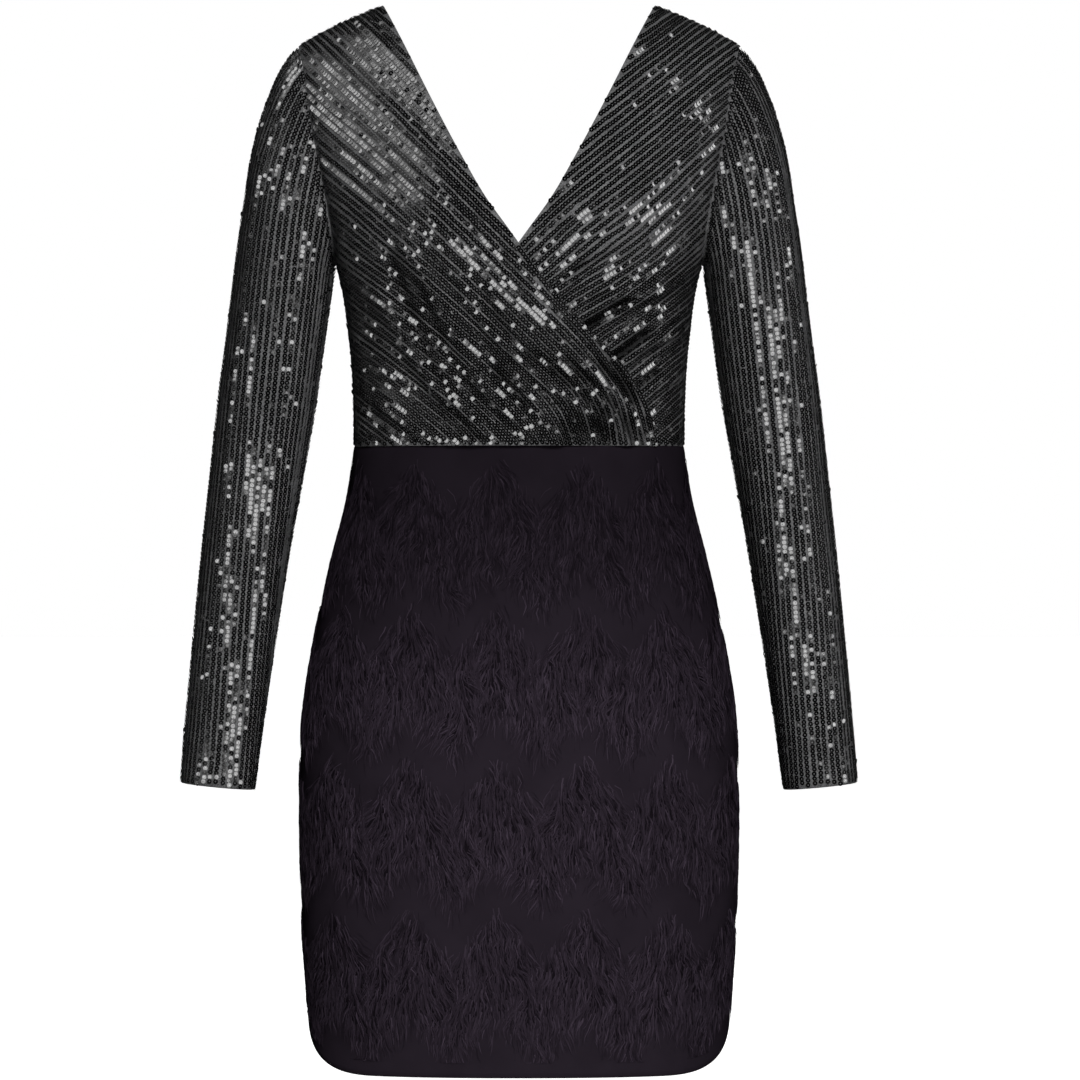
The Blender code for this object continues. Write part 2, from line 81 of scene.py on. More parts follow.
FULL_WIDTH, FULL_HEIGHT = 42.0, 50.0

NECK_Z, SHOULDER_Z = 18.9, -14.0
BACK_V_Z = -196.0
ARMPIT_Z, WAIST_Z = -198.0, -344.4

ShoulderPoint = namedtuple("ShoulderPoint", "x z")
SHOULDER_LINE = [
    ShoulderPoint(0, 60),
    ShoulderPoint(60, 41),
    ShoulderPoint(112.3, NECK_Z),
    ShoulderPoint(144.3, 5.7),
    ShoulderPoint(182, SHOULDER_Z),
    ShoulderPoint(200, -26),
]
EdgePoint = namedtuple("EdgePoint", "z x")
BACK_NECK = [
    EdgePoint(BACK_V_Z, 0),
    EdgePoint(-180, 14),
    EdgePoint(-147, 33),
    EdgePoint(-113, 50.5),
    EdgePoint(-64, 75),
    EdgePoint(-13.5, 98.5),
    EdgePoint(NECK_Z, 112.3),
]
ARMHOLE = [
    EdgePoint(ARMPIT_Z, 149.5),
    EdgePoint(-175, 152),
    EdgePoint(-146, 156.6),
    EdgePoint(-105, 165),
    EdgePoint(-74, 170.6),
    EdgePoint(-40, 176),
    EdgePoint(SHOULDER_Z, 182),
]

# A fold runs from (x0, z0) to (x1, z1), seen from the front, and bows up by bow on the way. It stands height
# proud, over a half width of width.
Fold = namedtuple("Fold", "x0 z0 x1 z1 bow width height")
BACK_FOLDS = [
    Fold(34, -346, 126, -262, 8, 12, 2.4),
    Fold(70, -346, 134, -300, 5, 11, 2.8),
    Fold(24, -252, 118, -206, 6, 14, 1.8),
]
STEEP_SIDE = 0.55  # a fold's lower side is this share as wide as its upper side
FOLD_START, FOLD_END = (-0.1, 0.25), (0.97, 1.25)  # shares of its length where it rises and dies away
FLAT_BY_SEAM = 0.82  # folds are flat from this share of a panel's width to its side seam
INNER_STEP = 0.7  # the grid's first column is this share as wide as an even one

NET_DEPTH = 0.5  # the net's face lies this far inside the wall's face, which leaves room for the sequins
NET_THICK = 0.9
TURNED_EDGE = 0.7  # extra thickness where a free edge is turned under
TURNED_WIDTH, TURNED_STEP = 7.0, 0.8  # of the part turned under, and of the step where it ends
RIM_BULGE = 0.3  # how far a rim rounds out, as a share of its thickness
SHARP_ANGLE = math.radians(60)
FAR = 1e3  # room for sequins where no edge is near
SEAM_DENT, SEAM_DENT_WIDTH = 0.9, 4.5  # how far a sewn edge draws the cloth in

ROW_GAP = 5.2  # between rows of sequins
SEQUIN_PITCH = 3.7  # along a row
FOLLOW = 10.0  # how much more the rows' direction counts than their gap on the bodice
SEQUIN_RADIUS = 2.2
SEQUIN_HEIGHT = 0.6  # of the sequins' middles over the net
SEQUIN_LAP = math.radians(5.5)  # each sequin leans on the one before it
SEAM_MARGIN, EDGE_MARGIN = 1.6, 1.2  # from a sewn or a free edge to the nearest sequins' middles
CROWDED = 2.1  # a row ends where its sequins would come this near another row's
LONGEST_ROW = 400  # sequins each way
FIT_ROUNDS = 700

FRONT, BACK = -1, 1


def soften(t):
    """A straight rise from 0 to 1, made smooth at both ends."""
    return t * t * (3 - 2 * t)


def smooth(rows, key, value):
    """A smooth function through a table's points, from one column, or the row's number, to another."""
    xs = np.array([getattr(row, key) if key else number for number, row in enumerate(rows)], float)
    ys = np.array([getattr(row, value) for row in rows], float)
    order = np.argsort(xs)
    xs, ys = xs[order], ys[order]
    slopes = np.gradient(ys, xs)

    def curve(at):
        at = np.clip(at, xs[0], xs[-1])
        i = np.clip(np.searchsorted(xs, at) - 1, 0, len(xs) - 2)
        span = xs[i + 1] - xs[i]
        t = (at - xs[i]) / span
        rise = soften(t)
        start = t * (1 - t) ** 2 * span * slopes[i]
        end = t * t * (t - 1) * span * slopes[i + 1]
        return ys[i] + (ys[i + 1] - ys[i]) * rise + start + end

    return curve


def ease(x, low, high):
    """0 below low and 1 above high, with a smooth rise between."""
    return soften(np.clip((x - low) / (high - low), 0, 1))


def unit(vectors):
    return vectors / np.maximum(np.linalg.norm(vectors, axis=-1, keepdims=True), 1e-9)


half_width = smooth(FIGURE, "z", "half_width")
front_depth = smooth(FIGURE, "z", "front")
back_depth = smooth(FIGURE, "z", "back")
shoulder_line = smooth(SHOULDER_LINE, "x", "z")
back_neck = smooth(BACK_NECK, "z", "x")
armhole = smooth(ARMHOLE, "z", "x")


def figure_point(angle, z, face):
    """Points of the figure at a section angle, 0 at the middle and a quarter turn at the sides."""
    share = np.abs(np.sin(angle))
    x = half_width(z) * np.sin(angle)
    depth = (1 - share**SECTION_POWER) ** (1 / SECTION_POWER)
    depth = depth * (front_depth(z) if face == FRONT else back_depth(z))
    if face == FRONT:
        across, up = (np.abs(x) - FULL_X) / FULL_WIDTH, (z - FULL_Z) / FULL_HEIGHT
        depth = depth + FULLNESS * np.exp(-(across**2) - up**2) * (1 - share**6)
    drop = np.clip((shoulder_line(np.abs(x)) - z) / ARCH_REACH, 0, 1)
    depth = depth * np.sqrt(1 - (1 - drop) ** 2)
    lean = SHOULDER_LEAN * ease(z, WAIST_Z, SHOULDER_Z)
    return np.stack([x, lean + face * depth, z + 0 * x], -1)


def figure_outward(angle, z, face):
    """The level direction that points out of the figure."""
    depth = front_depth(z) if face == FRONT else back_depth(z)
    bend = SECTION_POWER - 1
    share = np.abs(np.sin(angle))
    height = np.maximum(1 - share**SECTION_POWER, 0) ** (bend / SECTION_POWER)
    x = np.sign(np.sin(angle)) * share**bend / half_width(z)
    y = face * height / depth
    return unit(np.stack([x, y, 0 * x], -1))


def fold_height(folds, x, z):
    """How far the folds lift the cloth at points seen from the front."""
    lift = np.zeros_like(x)
    for fold in folds:
        run = np.array([fold.x1 - fold.x0, fold.z1 - fold.z0], float)
        length = np.hypot(*run)
        run = run / length
        along = ((x - fold.x0) * run[0] + (z - fold.z0) * run[1]) / length
        across = (z - fold.z0) * run[0] - (x - fold.x0) * run[1]
        t = np.clip(along, 0, 1)
        across = across - fold.bow * 4 * t * (1 - t)
        width = np.where(across < 0, fold.width * STEEP_SIDE, fold.width)
        ends = ease(along, *FOLD_START) * (1 - ease(along, *FOLD_END))
        lift = lift + fold.height * np.exp(-((across / width) ** 2)) * ends
    return lift


def armhole_z(turn):
    """Height on the armhole seam. turn is 0 at the shoulder and half a turn at the armpit."""
    return SHOULDER_Z + (ARMPIT_Z - SHOULDER_Z) * (1 - np.cos(turn)) / 2


def armhole_outward(turn, face):
    """Out of the cloth along the wearer's left armhole seam."""
    shoulder = np.array((0.6, 0, 0.8)) * np.maximum(np.cos(turn), 0)
    middle = np.array((0.3, 0.95, 0)) * np.sin(turn)
    armpit = np.array((0, 0, -1)) * np.maximum(-np.cos(turn), 0)
    return unit((shoulder + middle + armpit) * np.stack([1 + 0 * face, face, 1 + 0 * face], -1))


def bodice_half(neck_edge, inner_edge, low_z, side_rows, arm_rows, columns, face):
    """The grid of a half bodice on the wearer's left: rows from the waist up, columns from the inner edge out.

    It gives the section angles, the heights, how far each row is up the side seam and the armhole, and how far
    each column is to the outer edge.
    """
    climb = np.concatenate([np.linspace(0, 1, side_rows, endpoint=False), np.ones(arm_rows + 1)])[:, None]
    rise = np.concatenate([np.zeros(side_rows), np.linspace(0, 1, arm_rows + 1)])[:, None]
    turn = math.pi * (1 - rise)
    on_arm = climb == 1
    z_neck = NECK_Z + (low_z - NECK_Z) * (1 - np.cos(turn / 2))
    z_in = np.where(on_arm, z_neck, WAIST_Z + climb * (low_z - WAIST_Z))
    z_out = np.where(on_arm, armhole_z(turn), WAIST_Z + climb * (ARMPIT_Z - WAIST_Z))
    x_in = np.where(on_arm, neck_edge(z_in), inner_edge(z_in))
    x_out = np.where(on_arm, armhole(z_out), half_width(z_out))
    across = np.linspace(0, 1, columns + 1)[None, :]
    share = across * (INNER_STEP + (1 - INNER_STEP) * across)
    angle_in = np.arcsin(np.clip(x_in / half_width(z_in), -1, 1))
    angle_out = np.arcsin(np.clip(x_out / half_width(z_out), -1, 1))
    angle = angle_in + (angle_out - angle_in) * share
    level = z_in + (z_out - z_in) * share
    shoulder_in, shoulder_out = shoulder_line(np.abs(x_in)), shoulder_line(x_out)
    chord = shoulder_in + (shoulder_out - shoulder_in) * share
    z = level
    for _ in range(4):
        z = level + rise * (shoulder_line(np.abs(half_width(z) * np.sin(angle))) - chord)
    return angle, z, climb, rise, across


def bodice_outward(points, climb, rise, face):
    """Ways out of a half bodice, which agree along the seams with those of the pieces sewn there."""
    out = unit(np.cross(np.gradient(points, axis=1), np.gradient(points, axis=0)))
    out = out * -face
    out[0, :, 2] = 0
    z = points[:, -1, 2]
    slope = (half_width(z + 1) - half_width(z - 1)) / 2
    side = unit(np.stack([np.ones_like(z), 0 * z, -slope * (climb[:, 0] > 0)], -1))
    arm = armhole_outward(math.pi * (1 - rise), np.full_like(rise, face)[:, 0])
    out[:, -1] = np.where(climb == 1, arm, side)
    x = points[-1, :-1, 0]
    slope = (shoulder_line(x + 1) - shoulder_line(x - 1)) / 2
    out[-1, :-1] = unit(np.stack([-slope, 0 * x, 1 + 0 * x], -1))
    return unit(out)


def run_along(points, axis):
    """Each grid point's distance from the grid's first and its last point on that axis."""
    step = np.linalg.norm(np.diff(points, axis=axis), axis=-1)
    start = np.insert(np.cumsum(step, axis=axis), 0, 0, axis=axis)
    return start, np.take(start, [-1], axis=axis) - start


Cloth = namedtuple("Cloth", "points out seam_room edge_room creased")


def cloth_of(points, out, sewn, free, creased=0.0):
    """One cut piece, drawn in at its sewn edges. sewn and free name its edges: first or last column or row.

    creased is how far each point is down in a crease, from 0 to 1.
    """
    distances = dict(zip(("first_column", "last_column"), run_along(points, 1)))
    distances.update(zip(("first_row", "last_row"), run_along(points, 0)))
    far = np.full(points.shape[:2], FAR)
    seam_room = np.minimum.reduce([far] + [distances[name] for name in sewn])
    edge_room = np.minimum.reduce([far] + [distances[name] for name in free])
    dent = SEAM_DENT * np.exp(-((seam_room / SEAM_DENT_WIDTH) ** 2))
    return Cloth(points - out * dent[..., None], out, seam_room, edge_room, creased + 0 * dent)


def mesh_piece(name, points, faces, material, corner_map=None, marks=()):
    """A mesh in metres from points in millimetres and faces with the same number of corners.

    corner_map is a pair of numbers for each point, kept as its UV map. marks are named numbers for each point.
    """
    mesh = bpy.data.meshes.new(name)
    mesh.vertices.add(len(points))
    mesh.vertices.foreach_set("co", (points * MM).astype(np.float32).ravel())
    mesh.loops.add(faces.size)
    mesh.loops.foreach_set("vertex_index", faces.astype(np.int32).ravel())
    mesh.polygons.add(len(faces))
    mesh.polygons.foreach_set("loop_start", np.arange(0, faces.size, faces.shape[1], dtype=np.int32))
    mesh.update(calc_edges=True)
    if corner_map is not None:
        layer = mesh.uv_layers.new(name="pattern")
        layer.data.foreach_set("uv", corner_map[faces.ravel()].astype(np.float32).ravel())
    for mark, values in marks:
        mesh.attributes.new(mark, "FLOAT", "POINT").data.foreach_set("value", values.astype(np.float32))
    mesh.materials.append(material)
    piece = bpy.data.objects.new(name, mesh)
    bpy.context.scene.collection.objects.link(piece)
    return piece


def grid_quads(rows, columns):
    """Quads of a grid of points that face out where columns, then rows, turn left seen from outside."""
    first = (np.arange(rows - 1)[:, None] * columns + np.arange(columns - 1)).reshape(-1, 1)
    return first + np.array([0, 1, columns + 1, columns])


def shell_piece(name, cloth, depth, thick, material, face, side=1, corner_map=None):
    """A cut piece as a thin closed shell with rounded rims, on the wearer's left (side 1) or right (-1)."""
    rows, columns = cloth.points.shape[:2]
    turned = TURNED_EDGE * (1 - ease(cloth.edge_room, TURNED_WIDTH - TURNED_STEP, TURNED_WIDTH))[..., None]
    outer = cloth.points - cloth.out * depth
    inner = outer - cloth.out * (thick + turned)
    quads = grid_quads(rows, columns)
    count = rows * columns
    rim = np.concatenate(
        [
            np.arange(columns),
            np.arange(1, rows) * columns + columns - 1,
            (rows - 1) * columns + np.arange(columns - 2, -1, -1),
            np.arange(rows - 2, 0, -1) * columns,
        ]
    )
    flat_outer, flat_inner = outer.reshape(-1, 3), inner.reshape(-1, 3)
    ahead, behind = np.roll(rim, -1), np.roll(rim, 1)
    away = unit(np.cross(flat_outer[ahead] - flat_outer[behind], cloth.out.reshape(-1, 3)[rim])) * -face
    wall = np.linalg.norm(flat_outer[rim] - flat_inner[rim], axis=1, keepdims=True)
    middle = (flat_outer[rim] + flat_inner[rim]) / 2 + away * wall * RIM_BULGE
    number = 2 * count + np.arange(len(rim))
    after = np.roll(number, -1)
    faces = np.concatenate(
        [
            quads,
            quads[:, ::-1] + count,
            np.stack([rim, number, after, ahead], -1),
            np.stack([number, rim + count, ahead + count, after], -1),
        ]
    )
    points = np.concatenate([flat_outer, flat_inner, middle]) * (side, 1, 1)
    if side * -face < 0:
        faces = faces[:, ::-1]

    def on_shell(values):
        return np.concatenate([values, values, values[rim]])

    if corner_map is not None:
        corner_map = on_shell(corner_map.reshape(-1, 2))
    marks = [("creased", on_shell(cloth.creased.ravel()))]
    piece = mesh_piece(name, points, faces, material, corner_map, marks)
    piece.data.shade_smooth()
    piece.data.set_sharp_from_angle(angle=SHARP_ANGLE)
    return piece


def joined(name, pieces):
    """Several meshes as one piece."""
    with bpy.context.temp_override(active_object=pieces[0], selected_editable_objects=pieces):
        bpy.ops.object.join()
    pieces[0].name = pieces[0].data.name = name
    return pieces[0]


# Rows of sequins

Rows = namedtuple("Rows", "along places")


def steps_on_grid(cloth, way):
    """Steps in grid rows and columns for one millimetre that way over the cloth."""
    by_row, by_column = np.gradient(cloth.points, axis=0), np.gradient(cloth.points, axis=1)
    rr, rc, cc = (np.sum(a * b, -1) for a, b in ((by_row, by_row), (by_row, by_column), (by_column, by_column)))
    r, c = np.sum(way * by_row, -1), np.sum(way * by_column, -1)
    size = np.maximum(rr * cc - rc * rc, 1e-9)
    return np.stack([(r * cc - c * rc) / size, (c * rr - r * rc) / size], -1)


def count_rows(cloth, along, gap, follow):
    """How many rows of sequins lie below each grid point: whole numbers are rows.

    It is the best fit to rows that run along, a gap apart. follow is how much more the first counts.
    """
    middle = (slice(None, -1), slice(None, -1))
    ways = [steps_on_grid(cloth, along), steps_on_grid(cloth, np.cross(cloth.out, along))]
    cell = np.cross(np.gradient(cloth.points, axis=0), np.gradient(cloth.points, axis=1))
    area = np.linalg.norm(cell, axis=-1)
    ways = [(way * np.sqrt(area * weight)[..., None])[middle] for way, weight in zip(ways, (follow, 1.0))]
    wanted = np.sqrt(area[middle]) / gap

    def slopes(height):
        down, right = np.diff(height, axis=0), np.diff(height, axis=1)
        pairs = ((down[:, :-1], right[:-1]), (down[:, 1:], right[1:]))
        return [way[..., 0] * d + way[..., 1] * r for d, r in pairs for way in ways]

    def gather(values):
        total = np.zeros(cloth.points.shape[:2])
        for number, value in enumerate(values):
            way = ways[number % 2]
            d, r = way[..., 0] * value, way[..., 1] * value
            if number < 2:
                total[1:, :-1] += d
                total[:-1, :-1] -= d + r
                total[:-1, 1:] += r
            else:
                total[1:, 1:] += d + r
                total[:-1, 1:] -= d
                total[1:, :-1] -= r
        return total

    height = np.zeros(cloth.points.shape[:2])
    rest = gather([0 * wanted, wanted] * 2)
    step, size = rest, np.sum(rest * rest)
    for _ in range(FIT_ROUNDS):
        pull = gather(slopes(step))
        share = size / np.sum(step * pull)
        height, rest = height + share * step, rest - share * pull
        size, before = np.sum(rest * rest), size
        if size < 1e-12:
            break
        step = rest + step * size / before
    return height


def sew_rows(cloth, lay, room, row_at, gap=ROW_GAP, pitch=SEQUIN_PITCH, follow=1.0, edge_rows=()):
    """Places of sequins on a piece, row by row, as (row, column) places on its grid.

    lay is the direction of the rows at each grid point, and room is how far a sequin's middle is inside its
    limits. row_at is a grid point, and how many rows it lies below the next row. The rows end by the edge rows.
    """
    along = unit(lay - cloth.out * np.sum(lay * cloth.out, -1, keepdims=True))
    height = count_rows(cloth, along, gap, follow)
    height = height - height[row_at[0]] - row_at[1]
    slope = np.stack([np.gradient(height, axis=0), np.gradient(height, axis=1)], -1)
    beside = np.cross(cloth.out, along)
    rise_along, rise_beside = (np.sum(steps_on_grid(cloth, way) * slope, -1) for way in (along, beside))
    along = unit(along * rise_beside[..., None] - beside * rise_along[..., None])
    beside = np.cross(cloth.out, along)
    steepness = np.sum(steps_on_grid(cloth, beside) * slope, -1)
    steps, side_steps = steps_on_grid(cloth, along), steps_on_grid(cloth, beside) / steepness[..., None]
    field = np.concatenate([cloth.points, steps, side_steps, room[..., None], height[..., None]], -1)
    rows, columns = height.shape
    cells = {}

    def read(at):
        i, j = min(int(at[0]), rows - 2), min(int(at[1]), columns - 2)
        s, t = at[0] - i, at[1] - j
        low = field[i, j] * (1 - t) + field[i, j + 1] * t
        return low * (1 - s) + (field[i + 1, j] * (1 - t) + field[i + 1, j + 1] * t) * s

    def on_cloth(at):
        return 0 <= at[0] <= rows - 1 and 0 <= at[1] <= columns - 1

    def cell_of(point):
        return tuple(int(c // ROW_GAP) for c in point)

    def keep(point):
        cells.setdefault(cell_of(point), []).append(point)

    def crowded(point):
        for cell in itertools.product(*((c - 1, c, c + 1) for c in cell_of(point))):
            for x, y, z in cells.get(cell, ()):
                if (x - point[0]) ** 2 + (y - point[1]) ** 2 + (z - point[2]) ** 2 < CROWDED**2:
                    return True
        return False

    def walk(at, level, way):
        places = []
        while len(places) < LONGEST_ROW:
            half = at + read(at)[3:5] * (way * pitch / 2)
            if not on_cloth(half):
                break
            at = at + read(half)[3:5] * (way * pitch)
            if not on_cloth(at):
                break
            here = read(at)
            at = at + here[5:7] * (level - here[8])
            if not on_cloth(at):
                break
            here = read(at)
            if here[7] < 0 or crowded(here[:3]):
                break
            places.append((at, here))
        return places

    sewn = []
    for row in edge_rows:
        row = np.array([at for at in row if read(at)[7] >= 0])
        for at in row:
            keep(read(at)[:3])
        sewn.append(row)
    crossed = np.floor(height[:, 1:]) != np.floor(height[:, :-1])
    for i, j in zip(*np.nonzero(crossed)):
        level = max(math.floor(height[i, j]), math.floor(height[i, j + 1]))
        share = (level - height[i, j]) / (height[i, j + 1] - height[i, j])
        start = np.array([i, j + share])
        here = read(start)
        if here[7] < 0 or crowded(here[:3]):
            continue
        row = walk(start, level, -1)[::-1] + [(start, here)] + walk(start, level, 1)
        for at, here in row:
            keep(here[:3])
        sewn.append(np.array([at for at, here in row]))
    return Rows(along, sewn)


def read_grid(grid, places):
    """Values of a grid between its points, at (row, column) places."""
    i = np.clip(places[:, 0].astype(int), 0, grid.shape[0] - 2)
    j = np.clip(places[:, 1].astype(int), 0, grid.shape[1] - 2)
    s, t = (places[:, 0] - i)[:, None], (places[:, 1] - j)[:, None]
    low = grid[i, j] * (1 - t) + grid[i, j + 1] * t
    return low * (1 - s) + (grid[i + 1, j] * (1 - t) + grid[i + 1, j + 1] * t) * s


def wander(rng, count, step):
    """Smooth random numbers along a row, which change over about step sequins."""
    knots = rng.normal(size=count // step + 4)
    at = np.arange(count) / step + rng.random()
    i = at.astype(int)
    t = soften(at - i)
    return knots[i] * (1 - t) + knots[i + 1] * t


ROW_DRIFT, SEQUIN_SLACK = 0.22, 0.14  # how far rows and single sequins stray, mm
DRIFT_RUN, TIP_RUN = 12, 14  # sequins over which a row's drift and roll, and its tip, change
ROLL_OF_ROW = math.radians(9.0)  # rows roll over their length
ROLL_WANDER, TIP_WANDER = math.radians(2.5), math.radians(1.25)
SEQUIN_JITTER = math.radians(1.2)  # each sequin by itself
LOOSE_SHARE, LOOSE_JITTER = 0.17, math.radians(10.0)  # some hang more loosely
CREASED_TIP = math.radians(-24.0)  # how far a crease tips the sequins in it
SEQUIN_CORNERS = 8
SEQUIN_DISH = 0.02  # how far a sequin's middle is pressed in


def sequin_piece(name, cloth, rows, material, side, seed, lap=SEQUIN_LAP):
    """Every sequin of a piece as one mesh: a small dished disc that leans on the one before it in its row."""
    rng = np.random.default_rng(seed)
    roll, tip = [], []
    for row in rows.places:
        count = len(row)
        loose = np.where(rng.random(count) < LOOSE_SHARE, LOOSE_JITTER, SEQUIN_JITTER)
        row_roll = rng.normal() * ROLL_OF_ROW + wander(rng, count, DRIFT_RUN) * ROLL_WANDER
        roll.append(row_roll + rng.normal(size=count) * loose)
        tip.append(lap + wander(rng, count, TIP_RUN) * TIP_WANDER + rng.normal(size=count) * loose)
    places = np.concatenate(rows.places)
    creased = read_grid(cloth.creased[..., None], places)
    roll, tip = np.concatenate(roll)[:, None], np.concatenate(tip)[:, None] + creased * CREASED_TIP
    mirror = np.array([side, 1, 1])
    out = unit(read_grid(cloth.out, places)) * mirror
    way = read_grid(rows.along, places) * mirror
    way = unit(way - out * np.sum(way * out, -1, keepdims=True))
    beside = np.cross(out, way)
    drift = np.concatenate([wander(rng, len(row), DRIFT_RUN) for row in rows.places])[:, None] * ROW_DRIFT
    slack = rng.normal(size=(len(places), 2)) * SEQUIN_SLACK
    centre = read_grid(cloth.points, places) * mirror + out * (SEQUIN_HEIGHT - NET_DEPTH)
    centre = centre + beside * (drift + slack[:, :1]) + way * slack[:, 1:]
    way, out = way * np.cos(tip) + out * np.sin(tip), out * np.cos(tip) - way * np.sin(tip)
    beside, out = beside * np.cos(roll) + out * np.sin(roll), out * np.cos(roll) - beside * np.sin(roll)
    turns = np.linspace(0, 2 * math.pi, SEQUIN_CORNERS, endpoint=False)
    ring = np.stack([np.cos(turns), np.sin(turns)], -1)
    rim = centre[:, None] + SEQUIN_RADIUS * (way[:, None] * ring[:, :1] + beside[:, None] * ring[:, 1:])
    middle = centre - out * SEQUIN_DISH
    points = np.concatenate([rim, middle[:, None]], axis=1)
    corner = np.arange(SEQUIN_CORNERS)
    fan = np.stack([corner, (corner + 1) % SEQUIN_CORNERS, np.full(SEQUIN_CORNERS, SEQUIN_CORNERS)], -1)
    faces = (np.arange(len(points))[:, None, None] * (SEQUIN_CORNERS + 1) + fan).reshape(-1, 3)
    disc_map = np.concatenate([ring * 0.5 + 0.5, [[0.5, 0.5]]])
    corner_map = np.tile(disc_map, (len(points), 1))
    own = np.repeat(rng.random(len(points)), SEQUIN_CORNERS + 1)
    marks = [("own", own), ("creased", np.repeat(creased, SEQUIN_CORNERS + 1))]
    return mesh_piece(name, points.reshape(-1, 3), faces, material, corner_map, marks)


class Shade:
    """A socket of a material's nodes. Sums and products of it add Math nodes."""

    def __init__(self, tree, socket=None):
        self.tree, self.socket = tree, socket

    def node(self, kind, settings, sockets, output=0):
        """Any node: its settings first, then the values or links of its sockets. Gives one of its outputs."""
        node = self.tree.nodes.new(kind)
        for name, value in settings.items():
            setattr(node, name, value)
        for name, value in sockets.items():
            if isinstance(value, Shade):
                self.tree.links.new(value.socket, node.inputs[name])
            else:
                node.inputs[name].default_value = value
        return Shade(self.tree, node.outputs[output])

    def math(self, operation, *values):
        return self.node("ShaderNodeMath", {"operation": operation}, dict(enumerate(values)))

    def __add__(self, other):
        return self.math("ADD", self, other)

    def __sub__(self, other):
        return self.math("SUBTRACT", self, other)

    def __rsub__(self, other):
        return self.math("SUBTRACT", other, self)

    def __mul__(self, other):
        return self.math("MULTIPLY", self, other)

    def __truediv__(self, other):
        return self.math("DIVIDE", self, other)

    __radd__, __rmul__ = __add__, __mul__

    def between(self, low, high):
        """0 below low and 1 above high, with a smooth rise between."""
        sockets = {"Value": self, "From Min": low, "From Max": high}
        return self.node("ShaderNodeMapRange", {"interpolation_type": "SMOOTHSTEP"}, sockets)

    def colour(self, low, high):
        """One colour where it is 0, and another where it is 1."""
        a = low if isinstance(low, Shade) else (*low, 1)
        b = high if isinstance(high, Shade) else (*high, 1)
        return self.node("ShaderNodeMix", {"data_type": "RGBA"}, {0: self, 6: a, 7: b}, 2)

    def times(self, other):
        """A colour times another."""
        return self.node("ShaderNodeVectorMath", {"operation": "MULTIPLY"}, {0: self, 1: other})


def new_material(name, roughness, **constants):
    """A material, its nodes as a Shade, and a function that links them to its shader."""
    material = bpy.data.materials.new(name)
    material.use_nodes = True
    shader = material.node_tree.nodes["Principled BSDF"]
    shader.inputs["Roughness"].default_value = roughness
    for socket, value in constants.items():
        shader.inputs[socket.replace("_", " ")].default_value = value
    nodes = Shade(material.node_tree)

    def feed(**links):
        for socket, value in links.items():
            material.node_tree.links.new(value.socket, shader.inputs[socket.replace("_", " ")])

    return material, nodes, feed


def place_on(nodes):
    """Where a point of the piece is, in metres."""
    return nodes.node("ShaderNodeTexCoord", {}, {}, 3)


def mark_on(nodes, name):
    """A number that the mesh holds for each point."""
    return nodes.node("ShaderNodeAttribute", {"attribute_name": name}, {}, 2)


def part_of(nodes, vector, axis):
    """One part of a vector: 0, 1 or 2 for x, y or z."""
    return nodes.node("ShaderNodeSeparateXYZ", {}, {"Vector": vector}, axis)


def noise(nodes, place, scale, detail):
    return nodes.node("ShaderNodeTexNoise", {}, {"Vector": place, "Scale": scale, "Detail": detail})


def bumped(nodes, height, distance, strength):
    """A bump of that height, in metres of distance."""
    return nodes.node("ShaderNodeBump", {}, {"Height": height, "Distance": distance, "Strength": strength})


# The net: fine charcoal threads with tiny holes, in slightly lighter and darker patches
NET_THREAD = (0.34, 0.34, 0.346)
NET_HOLE = (0.006, 0.006, 0.007)
NET_DARKEST, NET_LIGHTEST = 0.75, 1.2  # patches of the thread, against its own colour
NET_MESH = 1250.0  # holes for each metre
HOLE_EDGE = (0.22, 0.5)  # shares of the way between two holes where the thread begins
THREAD_RELIEF = 0.0003  # metres
IN_CREASE = 0.12  # how light the painted shade leaves the cloth at the bottom of a crease, where little light gets in


def crease_shade(nodes):
    """Painted shade: the share of its colour that the cloth keeps, less where the mesh is marked as creased."""
    return mark_on(nodes, "creased").colour((1, 1, 1), [IN_CREASE] * 3)


net, nodes, feed = new_material("sequin_net", 0.9, Specular_IOR_Level=0.0)
place = place_on(nodes)
holes = nodes.node("ShaderNodeTexVoronoi", {}, {"Vector": place, "Scale": NET_MESH, "Randomness": 0.75})
holes = 1 - holes.between(*HOLE_EDGE)
thread = noise(nodes, place, 60.0, 3.0).between(0.25, 0.75)
thread = thread.colour([c * NET_DARKEST for c in NET_THREAD], [c * NET_LIGHTEST for c in NET_THREAD])
# painted shade in the creases
net_colour = holes.colour(thread, NET_HOLE).times(crease_shade(nodes))
feed(Base_Color=net_colour, Normal=bumped(nodes, 1 - holes, THREAD_RELIEF, 0.6))

# Sequins: glossy black discs, each with a small hole that its grey thread fills
SEQUIN_BLACK = (0.002, 0.002, 0.0022)
SEQUIN_WORN = (0.006, 0.006, 0.0065)
SEQUIN_THREAD = (0.3, 0.3, 0.306)
HOLE_SHARE = 0.24  # of the radius
RIM_SHARE = 0.84  # the rim beyond it is bent down and dull
GLOSSIEST, GLOSS_SPREAD, RIM_ROUGHER = 0.06, 0.05, 0.35  # roughness of the best, and what is added to it

